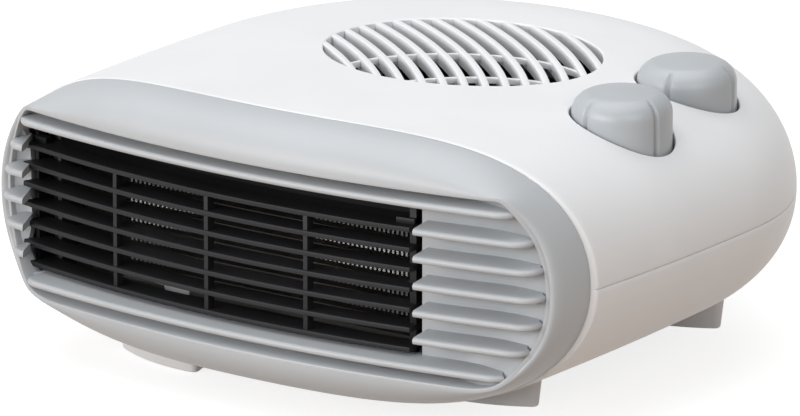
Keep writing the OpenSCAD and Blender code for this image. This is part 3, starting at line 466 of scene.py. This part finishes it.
# Feet
FEET = [(-57, -69, -14), (54, -44, 14), (57, 63, 14), (-57, 63, -14)]  # x, y, turn in degrees
FOOT_W, FOOT_BACK_W, FOOT_D, FOOT_R, FOOT_BOW = 38.0, 21.0, 24.0, 2.2, 60.0
FOOT_LEVELS = [(0, -1.0), (0.12, -0.55), (0.4, -0.2), (1.0, 0.0), (14.0, 1.5), (34.0, 2.0)]  # z, growth
BOW_STEPS, CORNER_STEPS = 12, 8
CORNER_TURN = 0.5  # radians from which a turn of the outline is a corner


def foot(cx, cy, turn):
    """A drafted foot with a bowed front, narrower at its back."""
    back_x, back_y = FOOT_BACK_W / 2 - FOOT_R, FOOT_D / 2 - FOOT_R
    core = [(-back_x, back_y), (back_x, back_y)]
    for k in range(BOW_STEPS + 1):
        x = mix(FOOT_W / 2 - FOOT_R, -FOOT_W / 2 + FOOT_R, k / BOW_STEPS)
        core.append((x, FOOT_BOW - FOOT_D / 2 - math.sqrt((FOOT_BOW - FOOT_R) ** 2 - x * x)))
    c, s = math.cos(math.radians(turn)), math.sin(math.radians(turn))
    rows = []
    for z, grow in FOOT_LEVELS:
        row = []
        for k, (x, y) in enumerate(core):
            before, after = core[k - 1], core[(k + 1) % len(core)]
            a0 = math.atan2(x - before[0], before[1] - y)
            a1 = math.atan2(after[0] - x, y - after[1])
            while a1 > a0 + 1e-6:
                a1 -= 2 * math.pi
            stops = [j / CORNER_STEPS for j in range(CORNER_STEPS + 1)] if a0 - a1 > CORNER_TURN else [0.5]
            for t in stops:
                a = mix(a0, a1, t)
                ex, ey = x + (FOOT_R + grow) * math.cos(a), y + (FOOT_R + grow) * math.sin(a)
                row.append((cx + ex * c - ey * s, cy + ex * s + ey * c, z))
        rows.append(row)
    return tube(rows)


make("feet", together([foot(*f) for f in FEET]), WHITE)
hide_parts("top_cover")
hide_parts("bottom_cover")

# Bezel ring
LIP_TOP, LIP_LOW = top_at(JOINT_Y) - LIP_DROP, under_at(JOINT_Y) + LIP_DROP
END_TOP, END_LOW = (64.5, 44.9, 1.4), (68.5, 40.9, 5.0)  # the lip's round ends: middle, radius, softness
LIP_SET, LIP_SET_X = 4.5, 95.0  # how far the lip sits back at its ends, and where that starts
LIP_FLAT = 0.3  # heights this near the lip's edge count as just inside it
LIP_HALVINGS = 24
PANEL_SINK = 1.0  # how far behind the lip the panel's ends lie
RIGHT_RISE, LEFT_RISE_MIN, LEFT_RISE_MAX = 27, 6, 12  # how far from its ends the panel comes forward


def soft_min(a, b, k):
    h = min(max(0.5 + 0.5 * (b - a) / k, 0), 1)
    return mix(b, a, h) - k * h * (1 - h)


def ease(t):
    t = min(max(t, 0), 1)
    return t * t * (3 - 2 * t)


def lip_reach(x, upper, inset=0.0):
    """Height of the lip above or below its middle line, at x."""
    (mid, r, soft), tall = (END_TOP, LIP_TOP - WIDE_Z) if upper else (END_LOW, SEAM_Z - LIP_LOW)
    over = max(abs(x) - mid, 0)
    return max(soft_min(tall - inset, math.sqrt(max((r - inset) ** 2 - over ** 2, 0)), soft), 0)


@functools.lru_cache(maxsize=None)
def lip_half_at(z, inset=0.0):
    """Half the width of the lip's opening at a height, found by halving."""
    upper = z > (WIDE_Z + SEAM_Z) / 2
    full, tall = (LIP_TOP - WIDE_Z, z - WIDE_Z) if upper else (SEAM_Z - LIP_LOW, SEAM_Z - z)
    tall = min(max(tall, 0), full - inset - LIP_FLAT)
    lo, hi = 0.0, LIP_HALF - inset
    for _ in range(LIP_HALVINGS):
        mid = (lo + hi) / 2
        lo, hi = (mid, hi) if lip_reach(mid, upper, inset) > tall else (lo, mid)
    return hi


def lip_y(x):
    return arc_y(x, FRONT_R) + LIP_SET * ease((abs(x) - LIP_SET_X) / (LIP_HALF - LIP_SET_X))


def panel_y(x, z):
    """The panel follows the arc by the window and comes forward to the lip at its ends."""
    end = lip_half_at(z)
    if x > 0:
        start = end - RIGHT_RISE
    else:
        start = max(min(-WINDOW_X0, end - LEFT_RISE_MIN), end - LEFT_RISE_MAX)
    forward = ease((abs(x) - start) / (end - start))
    return mix(arc_y(min(abs(x), end), PANEL_R), lip_y(end) + PANEL_SINK, forward)


# Shares of the half width at which the ring has points: close together round its ends
END_STEP, QUARTER_STEPS = 2.5, 22
END_ANGLES = [0, 1.2] + [END_STEP * k for k in range(1, QUARTER_STEPS)]
QUARTER = [(END_TOP[0] + END_TOP[1] * math.cos(math.radians(a))) / LIP_HALF for a in END_ANGLES]
QUARTER += [QUARTER[-1] * (1 - k / QUARTER_STEPS) for k in range(1, QUARTER_STEPS)]
HALF = QUARTER + [0.0] + [-s for s in reversed(QUARTER)]


def bezel_loop(share, inset, r=None, depth=None):
    """One loop of the bezel: share 0 lies on its outer rim and 1 on its lip.

    The loop follows an arc of radius r, or lies at a depth behind the panel's face.
    """
    pts = []
    for half in (1, -1):
        upper = half > 0
        edge = WIDE_Z if upper else SEAM_Z
        tall = top_at(JOINT_Y) - WIDE_Z if upper else SEAM_Z - under_at(JOINT_Y)
        for s in HALF:
            outer = (tall - inset) * rise(s, SIDE_FORM if upper else UNDER_FORM)
            lip = lip_reach(s * (LIP_HALF - inset), upper, inset)
            x = half * s * (mix(JOINT_HALF, LIP_HALF, share) - inset)
            z = edge + half * mix(outer, lip, share)
            if depth is not None:
                pts.append((x, panel_y(x, z) + depth, z))
            else:
                pts.append((x, arc_y(x, r) + (lip_y(x) - arc_y(x, FRONT_R)) * share ** 2, z))
    return pts


OUTER_EDGE = [(0.5, 0.0), (0.16, 0.12), (0.0, 0.45)]  # by the housing: in, forward
LIP_EDGE = [(0.4, 0.0), (0.8, 0.0), (1.1, 0.12), (1.3, 0.5)]  # at the lip: in, back
FACE_STEPS = 18
FACE_TURNS = [math.radians(90 / FACE_STEPS * k) for k in range(1, FACE_STEPS + 1)]
LIP_BACK = [(1.6, 0.4), (2.0, PANEL_T)]  # inside the panel: in, behind its face
CORE_R = mix(JOINT_R, FRONT_R, 0.35)  # the ring's hidden inner face
CORE_IN, CORE_MID, CORE_OUT = 0.82, 0.5, 0.32  # shares at which the hidden loops lie

loops = [bezel_loop(0, inset, JOINT_R + ahead) for inset, ahead in OUTER_EDGE]
loops += [bezel_loop(1 - math.cos(a), 0, mix(JOINT_R, FRONT_R, math.sin(a))) for a in FACE_TURNS]
loops += [bezel_loop(1, inset, FRONT_R - behind) for inset, behind in LIP_EDGE]
loops += [bezel_loop(1, inset, depth=depth) for inset, depth in LIP_BACK]
loops += [bezel_loop(CORE_IN, 0, depth=PANEL_T), bezel_loop(CORE_IN, 0, CORE_R)]
loops += [bezel_loop(CORE_MID, 0, CORE_R), bezel_loop(CORE_OUT, 0, JOINT_R)]
bezel = make("bezel_ring", lattice(loops, closed_rows=True, closed_cols=True), GREY, crease=BEZEL_CREASE)

# Recessed panel: a sheet that ends under the lip, pierced by the outlet window
WINDOW_Z = (top_at(JOINT_Y) + under_at(JOINT_Y)) / 2
PANEL_IN = 0.7  # the panel's edge lies this far inside the lip, within the ring
COL_STEPS, LEVEL_STEPS = 120, 54
PANEL_COLS = [-1 + 2 * i / COL_STEPS for i in range(COL_STEPS + 1)]
PANEL_LEVELS = [mix(LIP_LOW + PANEL_IN, LIP_TOP - PANEL_IN, i / LEVEL_STEPS) for i in range(LEVEL_STEPS + 1)]
CUT_Y0, CUT_Y1 = -130, -60  # the cuts reach from ahead of the bezel to behind the grille


def sheet(depth):
    rows = []
    for z in PANEL_LEVELS:
        half = lip_half_at(z, PANEL_IN)
        rows.append([(c * half, panel_y(c * half, z) + depth, z) for c in PANEL_COLS])
    return rows


panel = make("outlet_panel", shell(sheet(0), sheet(PANEL_T), ends=(0, -1)), GREY)
carve(panel, brick(WINDOW_X0, WINDOW_X1, CUT_Y0, CUT_Y1, WINDOW_Z - WINDOW_H / 2, WINDOW_Z + WINDOW_H / 2))
smooth(panel.data)

# Fins: a rounded nose and sides with draft, bent back round the ends until they meet the lip
FIN_COUNT, FIN_PITCH, FIN_T, FIN_R, FIN_SET = 7, 9.27, 2.5, 500.0, 0.3
FIN_END, FIN_CORNER, FIN_SINK, FIN_STEP, FIN_CORNER_STEPS = 1.2, 7.0, 0.5, 3, 12
FIN_LEFT, FIN_RIGHT = WINDOW_X0 + 6, WINDOW_X1 + 3  # past the window's left edge, short of its right one
LEFT_SKEW, RIGHT_SKEW = -0.4, -0.1  # lean of the ends at the window, as shares of the depth
NOSE = [(1.2, 0.98), (0.62, 0.85), (0.25, 0.6), (0.05, 0.3), (0.0, 0.0)]  # depth, share of half thickness
ROOT_IN, ROOT_SINK, ROOT_SHARE = 2.5, 1.0, 1.25  # the root: in, behind the panel, share of half thickness


def fin_nose(x):
    return FRONT_Y + FIN_SET + FIN_R - math.sqrt(FIN_R ** 2 - x * x)


def fin_path(z, x0, x1):
    """Points of the nose line with the direction into the fin, from x0 to x1."""
    end = lip_half_at(z) - FIN_END
    mid = end - FIN_CORNER
    centre = fin_nose(mid) + FIN_CORNER
    stop = lip_y(end) + FIN_SINK
    last = math.acos(min(max((centre - stop) / FIN_CORNER, 0), 1))
    round_end = []
    for a in [last * k / FIN_CORNER_STEPS for k in range(1, FIN_CORNER_STEPS + 1)]:
        sin, cos = math.sin(a), math.cos(a)
        round_end.append((mid + FIN_CORNER * sin, centre - FIN_CORNER * cos, sin, cos))
    if stop > centre:
        round_end.append((end, stop, 1.0, 0.0))
    lo, hi = max(x0, -mid), min(x1, mid)
    n = max(int((hi - lo) / FIN_STEP), 2)
    path = [(mix(lo, hi, k / n), fin_nose(mix(lo, hi, k / n)), 0.0, 1.0) for k in range(n + 1)]
    if x0 < -mid:
        path = [(-x, y, nx, ny) for x, y, nx, ny in reversed(round_end)] + path
    if x1 > mid:
        path += [(x, y, -nx, ny) for x, y, nx, ny in round_end]
    return path


def fin(z, x0, x1, skew0=0.0, skew1=0.0):
    """One fin. A skew leans its end to the side, by a share of the depth."""
    rows = []
    path = fin_path(z, x0, x1)
    for k, (px, py, nx, ny) in enumerate(path):
        skew = mix(skew0, skew1, k / (len(path) - 1))
        root = panel_y(px + nx * ROOT_IN, z) + ROOT_SINK
        flank = [(px + nx * ROOT_IN + skew * (root - py), root, ROOT_SHARE)]
        flank += [(px + nx * d + skew * d, py + ny * d, h) for d, h in NOSE]
        rows.append([(x, y, z + h * FIN_T / 2) for x, y, h in flank]
                    + [(x, y, z - h * FIN_T / 2) for x, y, h in flank[-2::-1]])
    return tube(rows)


fins = []
for i in range(FIN_COUNT):
    off = i - (FIN_COUNT - 1) / 2
    z = WINDOW_Z + off * FIN_PITCH
    if abs(off) == (FIN_COUNT - 1) / 2:
        fins.append(fin(z, -LIP_HALF, LIP_HALF))
    else:
        fins.append(fin(z, -LIP_HALF, FIN_LEFT, skew1=LEFT_SKEW))
        fins.append(fin(z, FIN_RIGHT, LIP_HALF, skew0=RIGHT_SKEW))
make("outlet_fins", together(fins), GREY, crease=BEZEL_CREASE)
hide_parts("front_bezel")

# Outlet grille
SLAT_COUNT, SLAT_PITCH, SLAT_MID, SLAT_T, SLAT_D = 7, 6.84, 52.0, 1.8, 9.0
SLAT_R, SLAT_NOSE_R, SLAT_TAIL_SHARE, SLAT_LEAN = FRONT_R - 6.2, 0.35, 0.42, 0.42
FRAME_R, FRAME_D, FRAME_T, END_BAR_W = SLAT_R - 5, 5.5, 2, 2.3
FRAME_GAP = 0.4  # between the frame and the window's upper and lower edges
LOW, HIGH = WINDOW_Z - WINDOW_H / 2 + FRAME_GAP, WINDOW_Z + WINDOW_H / 2 - FRAME_GAP
FRAME_X0, FRAME_X1 = WINDOW_X0 + 1.2, WINDOW_X1 - 2.9
SLAT_X0, SLAT_X1, LOWEST_CUT = WINDOW_X0 - 0.5, FRAME_X1 + 0.6, 3.0
TOP_SLAT_Z = SLAT_MID + (SLAT_COUNT - 1) / 2 * SLAT_PITCH
LOWEST_SLAT_Z = SLAT_MID - (SLAT_COUNT - 1) / 2 * SLAT_PITCH
UPRIGHT_W, UPRIGHT_PITCH, UPRIGHT_MID, UPRIGHT_D, UPRIGHT_SET = 1.6, 40.0, -18.9, 4, 0.5
SHELF_R, SHELF_T, SHELF_WALL, SHELF_INSET, SHELF_LAP = SLAT_R - 17.0, 1.4, 1.2, 1, 1
TAB_W, TAB_Z0, TAB_Z1, TAB_BACK, TAB_PROUD = 6.5, 0.5, 2.7, 2, 1.2
FLANGE_R, FLANGE_T = PANEL_R - PANEL_T - 0.2, 1.6
FLANGE_RIM = 1  # how far the flange runs past the frame, and how far its hole stays inside
FLANGE_LEFT, FLANGE_RIGHT = 0.3, 2  # how far the flange runs past the window's sides
EDGE_ROUND = 0.25


def arc_bar(section, x0, x1, step=3.0, lean=0.0):
    """A bar along the arc. Its left end leans in by a share of the depth behind its front."""
    n = max(int((x1 - x0) / step), 1)
    near = max(r for r, _ in section)
    rows = []
    for i in range(n + 1):
        pts = [(mix(x0 + lean * (near - r), x1, i / n), r, z) for r, z in section]
        rows.append([(x, arc_y(x, r), z) for x, r, z in pts])
    return tube(rows)


def eased(r0, r1, z0, z1):
    """A rectangular section with its front edges rounded and its back edges bevelled."""
    e = EDGE_ROUND
    c = e * CORNER_IN
    return [(r0 + e, z0), (r1 - e, z0), (r1 - c, z0 + c), (r1, z0 + e), (r1, z1 - e),
            (r1 - c, z1 - c), (r1 - e, z1), (r0 + e, z1), (r0, z1 - e), (r0, z0 + e)]


def slat_section(z):
    """A slat with a rounded nose that gets thinner towards its back."""
    tail = SLAT_R - SLAT_D
    section = [(tail, z + SLAT_T * SLAT_TAIL_SHARE), (tail, z - SLAT_T * SLAT_TAIL_SHARE)]
    for a in (-90, -60, -30, -1, 1, 30, 60, 90):
        middle = (SLAT_T / 2 - SLAT_NOSE_R) * (1 if a > 0 else -1)
        section.append((SLAT_R - SLAT_NOSE_R + SLAT_NOSE_R * math.cos(math.radians(a)),
                        z + middle + SLAT_NOSE_R * math.sin(math.radians(a))))
    return section


grille = []
for i in range(SLAT_COUNT):
    z = SLAT_MID + (i - (SLAT_COUNT - 1) / 2) * SLAT_PITCH
    left = SLAT_X0 + (LOWEST_CUT if i == 0 else 0.0)
    grille.append(arc_bar(slat_section(z), left, SLAT_X1, lean=SLAT_LEAN))
for z in (LOW, HIGH - FRAME_T):
    grille.append(arc_bar(eased(FRAME_R - FRAME_D, FRAME_R, z, z + FRAME_T), FRAME_X0, FRAME_X1))
for x, w in ((FRAME_X0, UPRIGHT_W), (FRAME_X1 - END_BAR_W, END_BAR_W)):
    grille.append(arc_bar(eased(FRAME_R - FRAME_D, FRAME_R, LOW, HIGH), x, x + w))
upright = eased(SLAT_R - UPRIGHT_D, SLAT_R - UPRIGHT_SET, LOWEST_SLAT_Z, TOP_SLAT_Z)
for x in [UPRIGHT_MID + i * UPRIGHT_PITCH - UPRIGHT_W / 2 for i in (-1, 0, 1)]:
    grille.append(arc_bar(upright, x, x + UPRIGHT_W))
# A black shelf behind the top slat, with a short wall at its back: a dark sheet put in as painted shade,
# filling the top gap and hiding what lies behind it
shelf_front = SLAT_R - SLAT_D + SHELF_LAP
for section in (eased(SHELF_R, shelf_front, TOP_SLAT_Z - SHELF_T / 2, TOP_SLAT_Z + SHELF_T / 2),
                eased(SHELF_R, SHELF_R + SHELF_WALL, TOP_SLAT_Z, HIGH)):
    grille.append(arc_bar(section, FRAME_X0 + SHELF_INSET, FRAME_X1 - SHELF_INSET))
# A short tab stands on the top slat at either end
tab = eased(FRAME_R - TAB_BACK, FRAME_R + TAB_PROUD, TOP_SLAT_Z + TAB_Z0, TOP_SLAT_Z + TAB_Z1)
for x in (FRAME_X0, FRAME_X1 - TAB_W):
    grille.append(arc_bar(tab, x, x + TAB_W))
louvres = make("outlet_louvres", together(grille), BLACK, crease=BEZEL_CREASE)
# The flange behind the panel closes the gap round the frame
flange_section = eased(FLANGE_R - FLANGE_T, FLANGE_R, LOW - FLANGE_RIM, HIGH + FLANGE_RIM)
flange_bar = arc_bar(flange_section, WINDOW_X0 - FLANGE_LEFT, WINDOW_X1 + FLANGE_RIGHT)
flange = make("louvre_flange", flange_bar, BLACK)
carve(flange, brick(FRAME_X0 + FLANGE_RIM, WINDOW_X1 + FLANGE_RIM, CUT_Y0, CUT_Y1,
                    LOW + FLANGE_RIM, HIGH - FLANGE_RIM))
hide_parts("outlet_grille")

# Heating element
EL_X0, EL_X1, EL_Z, EL_H = WINDOW_X0 + 7.0, WINDOW_X1 - 4.5, 28.0, 51.0
EL_Y0, EL_D = FRONT_Y + 28.5, 12.0
EL_Y1, EL_MID_Y, EL_MID_Z = EL_Y0 + EL_D, EL_Y0 + EL_D / 2, EL_Z + EL_H / 2
BOARD_T, MICA_SHELF_T, MICA_SHELF_DROP, MICA_SHELF_SET = 1.5, 0.5, 2.1, 1
WINDINGS, WINDING_PITCH, PAINTED_GLINT_WINDINGS = 6, 6.8, (2, 3)
WOUND_X0, WOUND_X1 = -66.0, EL_X1 - 3.5
FOLD_PITCH, FOLD_HALF, FOLD_DEPTH, FOLD_SWING = 0.9, 0.28, 0.18, EL_D / 2 - 1.6
STRIP_T, STRIP_BELOW, STRIP_ABOVE = 0.34, 0.8, 2.2


def winding(z):
    """A strip on edge, folded to and fro across the air."""
    path, x, side = [], WOUND_X0, -1
    while x < WOUND_X1:
        for a in (-FOLD_HALF, 0, FOLD_HALF):
            path.append((x + a, EL_MID_Y + side * FOLD_SWING - side * FOLD_DEPTH * abs(a) / FOLD_HALF))
        x, side = x + FOLD_PITCH, -side
    low, high, t = z - STRIP_BELOW, z + STRIP_ABOVE, STRIP_T / 2
    return tube([[(x - t, y, low), (x + t, y, low), (x + t, y, high), (x - t, y, high)] for x, y in path])


mica = [brick(x, x + BOARD_T, EL_Y0, EL_Y1, EL_Z, EL_Z + EL_H) for x in (EL_X0, EL_X1 - BOARD_T)]
mica += [brick(EL_X0, EL_X1, EL_Y0, EL_Y1, z, z + BOARD_T) for z in (EL_Z, EL_Z + EL_H - BOARD_T)]
strips, glint_painted_strips = [], []
for i in range(WINDINGS):
    z = EL_MID_Z + (i - (WINDINGS - 1) / 2) * WINDING_PITCH
    shelf_top = z - MICA_SHELF_DROP
    mica.append(brick(EL_X0, EL_X1, EL_Y0 + MICA_SHELF_SET, EL_Y1 - MICA_SHELF_SET,
                      shelf_top - MICA_SHELF_T, shelf_top))
    # two of the windings take the lighter strip colour, a painted glint
    (glint_painted_strips if i in PAINTED_GLINT_WINDINGS else strips).append(winding(z))
boards = make("element_boards", together(mica), MICA_DARKENED_AS_SHADE)
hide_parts("element_frame")
wires = make("element_strips", together(strips), STRIP)
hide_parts("heating_element")
make("element_strips_painted_glint", together(glint_painted_strips), STRIP_PAINTED_GLINT)

# Knobs
KNOB_LIFT, KNOB_SIDES, SHOULDER, CROWN = 2.5, 240, 7.0, 0.8
KNOB_BEVEL, SIDE_TOP = 0.4, 1.2
DRUM_STEPS, SHOULDER_STEPS, DOME_STEPS, GROOVE_COUNT = 6, 12, 8, 4
GROOVE_D, GROOVE_W = 1.25, 0.75
GROOVE_R0, GROOVE_FADE = KNOB_R - SHOULDER * 0.62, SHOULDER * 0.3  # where the grooves start and deepen


def knob(name, cx, cy, top, turn, body, node):
    """A drum with a domed top and four grooves that run from the dome down the side."""
    low = WELL_FLOOR + KNOB_LIFT
    high = top - low
    profile = [(0.0, 0.0), (KNOB_R - KNOB_BEVEL, 0.0), (KNOB_R, KNOB_BEVEL)]
    for k in range(1, DRUM_STEPS + 1):
        profile.append((KNOB_R, mix(KNOB_BEVEL, high - SHOULDER - SIDE_TOP, k / DRUM_STEPS)))
    shoulder_z = high - CROWN - SHOULDER
    for a in [math.radians(90 / SHOULDER_STEPS * k) for k in range(1, SHOULDER_STEPS + 1)]:
        profile.append((KNOB_R - SHOULDER * (1 - math.cos(a)), shoulder_z + SHOULDER * math.sin(a)))
    edge = KNOB_R - SHOULDER
    for r in [edge * (1 - k / DOME_STEPS) for k in range(1, DOME_STEPS + 1)]:
        profile.append((r, high - CROWN * (r / edge) ** 2))
    grooves = [math.radians(turn + 360 / GROOVE_COUNT * k) for k in range(GROOVE_COUNT)]
    rows = []
    for r, h in profile:
        row = []
        reach = min(max((r - GROOVE_R0) / GROOVE_FADE, 0), 1)
        for j in range(KNOB_SIDES):
            a = 2 * math.pi * j / KNOB_SIDES
            d = min(abs((a - g + math.pi) % (2 * math.pi) - math.pi) for g in grooves) * KNOB_R
            deep = GROOVE_D * reach * math.exp(-(d / GROOVE_W) ** 2)
            row.append((cx + (r - deep) * math.cos(a), cy + (r - deep) * math.sin(a), low + h))
        rows.append(row)
    o = make(name, lattice(rows, closed_cols=True), KNOB_GREY, body, crease=KNOB_CREASE)
    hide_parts(node)


knob("front_knob", *KNOBS[0], "selector", "selector_knob")
knob("rear_knob", *KNOBS[1], "thermostat", "thermostat_knob")

# CAD nodes that stay
DRESS = {
    BLACK: ["fan_scroll", "impeller", "cord_inlet"],
    STEEL: ["fan_shaft", "lower_bracket", "upper_bracket", "motor_screws", "thermal_cutout",
            "control_bracket", "control_screws", "selector_spindle", "thermostat_spindle",
            "clamp_screws", "case_screws"],
    LAMINATION: ["motor_rotor", "motor_stator"],
    COPPER: ["motor_coil"],
    BRASS: ["lower_bush", "upper_bush"],
    CREAM: ["selector_switch", "thermostat_body", "terminal_block"],
    WHITE: ["cord_clamp"],
}
for material, names in DRESS.items():
    for name in names:
        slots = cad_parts[name].data.materials
        slots.clear()
        slots.append(material)

# Floor and backdrop
FLOOR_HALF = 9000
BOUNCE = (0.43, 0.32, 0.24, 1)  # what the floor throws back onto the heater
PALE, GLOW = (0.32, 0.32, 0.32, 1), 0.80  # what the floor looks like: its shade and its own light
ROOM_COLOUR, ROOM_LIGHT, BACKDROP_WHITE = (0.95, 0.97, 1.0, 1), 0.30, 1.0


def seen_ray(tree):
    """1 for rays that show the backdrop: from the camera, off gloss and through clear parts."""
    path = add_node(tree, "LightPath")
    seen = path.outputs["Is Camera Ray"]
    for other in ("Is Glossy Ray", "Is Transmission Ray"):
        either = add_node(tree, "Math")
        either.operation = "MAXIMUM"
        tree.links.new(seen, either.inputs[0])
        tree.links.new(path.outputs[other], either.inputs[1])
        seen = either.outputs[0]
    return seen


def split_rays(tree, kind, lighting, seen):
    """Rays that show the backdrop meet one shader, and rays that carry its light meet another."""
    pick = add_node(tree, "MixShader")
    out = add_node(tree, kind)
    tree.links.new(seen_ray(tree), pick.inputs["Fac"])
    tree.links.new(lighting.outputs[0], pick.inputs[1])
    tree.links.new(seen.outputs[0], pick.inputs[2])
    tree.links.new(pick.outputs[0], out.inputs["Surface"])


corners = [(x * FLOOR_HALF, y * FLOOR_HALF, 0) for x, y in ((-1, -1), (1, -1), (1, 1), (-1, 1))]
floor = make("floor", (corners, [(0, 1, 2, 3)]), WHITE, None)
paper = bpy.data.materials.new("pale floor")
paper.use_nodes = True
tree = paper.node_tree
tree.nodes.clear()
pale = add_node(tree, "BsdfDiffuse", Color=PALE)
glow = add_node(tree, "Emission", Strength=GLOW)
lit = add_node(tree, "AddShader")
tree.links.new(pale.outputs[0], lit.inputs[0])
tree.links.new(glow.outputs[0], lit.inputs[1])
split_rays(tree, "OutputMaterial", add_node(tree, "BsdfDiffuse", Color=BOUNCE), lit)
floor.data.materials.clear()
floor.data.materials.append(paper)

world = bpy.data.worlds.new("room")
bpy.context.scene.world = world
world.use_nodes = True
tree = world.node_tree
tree.nodes.clear()
split_rays(tree, "OutputWorld", add_node(tree, "Background", Color=ROOM_COLOUR, Strength=ROOM_LIGHT),
           add_node(tree, "Background", Strength=BACKDROP_WHITE))

# Light and camera, in metres
AIM = Vector((0, 0, 0.05))
SOFTBOXES = [  # name, place, width and height, watts
    ("overhead", (-0.2, 0.1, 2.2), (2.6, 2.6), 42),
    ("key", (-1.5, -1.9, 1.5), (1.6, 1.2), 9),
    ("fill", (1.9, -1.1, 1.2), (1.4, 1.0), 15),
    ("low", (-0.5, -2.35, 0.75), (2.2, 0.7), 42),
]
LENS, SENSOR_W, CLIP_NEAR, CLIP_FAR = 420.07, 36, 0.5, 50
CAMERA_AT = (1.7062, -2.4982, 0.9554)
CAMERA_AHEAD, CAMERA_RIGHT = (-0.5430, 0.7887, -0.2883), (0.8237, 0.5670, 0.0)

for name, place, (width, height), power in SOFTBOXES:
    lamp = bpy.data.lights.new(name, "AREA")
    lamp.shape, lamp.size, lamp.size_y, lamp.energy = "RECTANGLE", width, height, power
    box = bpy.data.objects.new(name, lamp)
    bpy.context.collection.objects.link(box)
    box.location = place
    box.rotation_mode = "QUATERNION"
    box.rotation_quaternion = (AIM - Vector(place)).to_track_quat("-Z", "Y")
    box.visible_camera = False

cam = bpy.data.cameras.new("camera")
cam.sensor_width, cam.lens, cam.clip_start, cam.clip_end = SENSOR_W, LENS, CLIP_NEAR, CLIP_FAR
eye = bpy.data.objects.new("camera", cam)
bpy.context.collection.objects.link(eye)
ahead = Vector(CAMERA_AHEAD).normalized()
right = Vector(CAMERA_RIGHT).normalized()
up = right.cross(ahead).normalized()
eye.matrix_world = Matrix([*zip(right, up, -ahead, CAMERA_AT), (0, 0, 0, 1)])
bpy.context.scene.camera = eye
bpy.context.scene.view_settings.view_transform = "Standard"
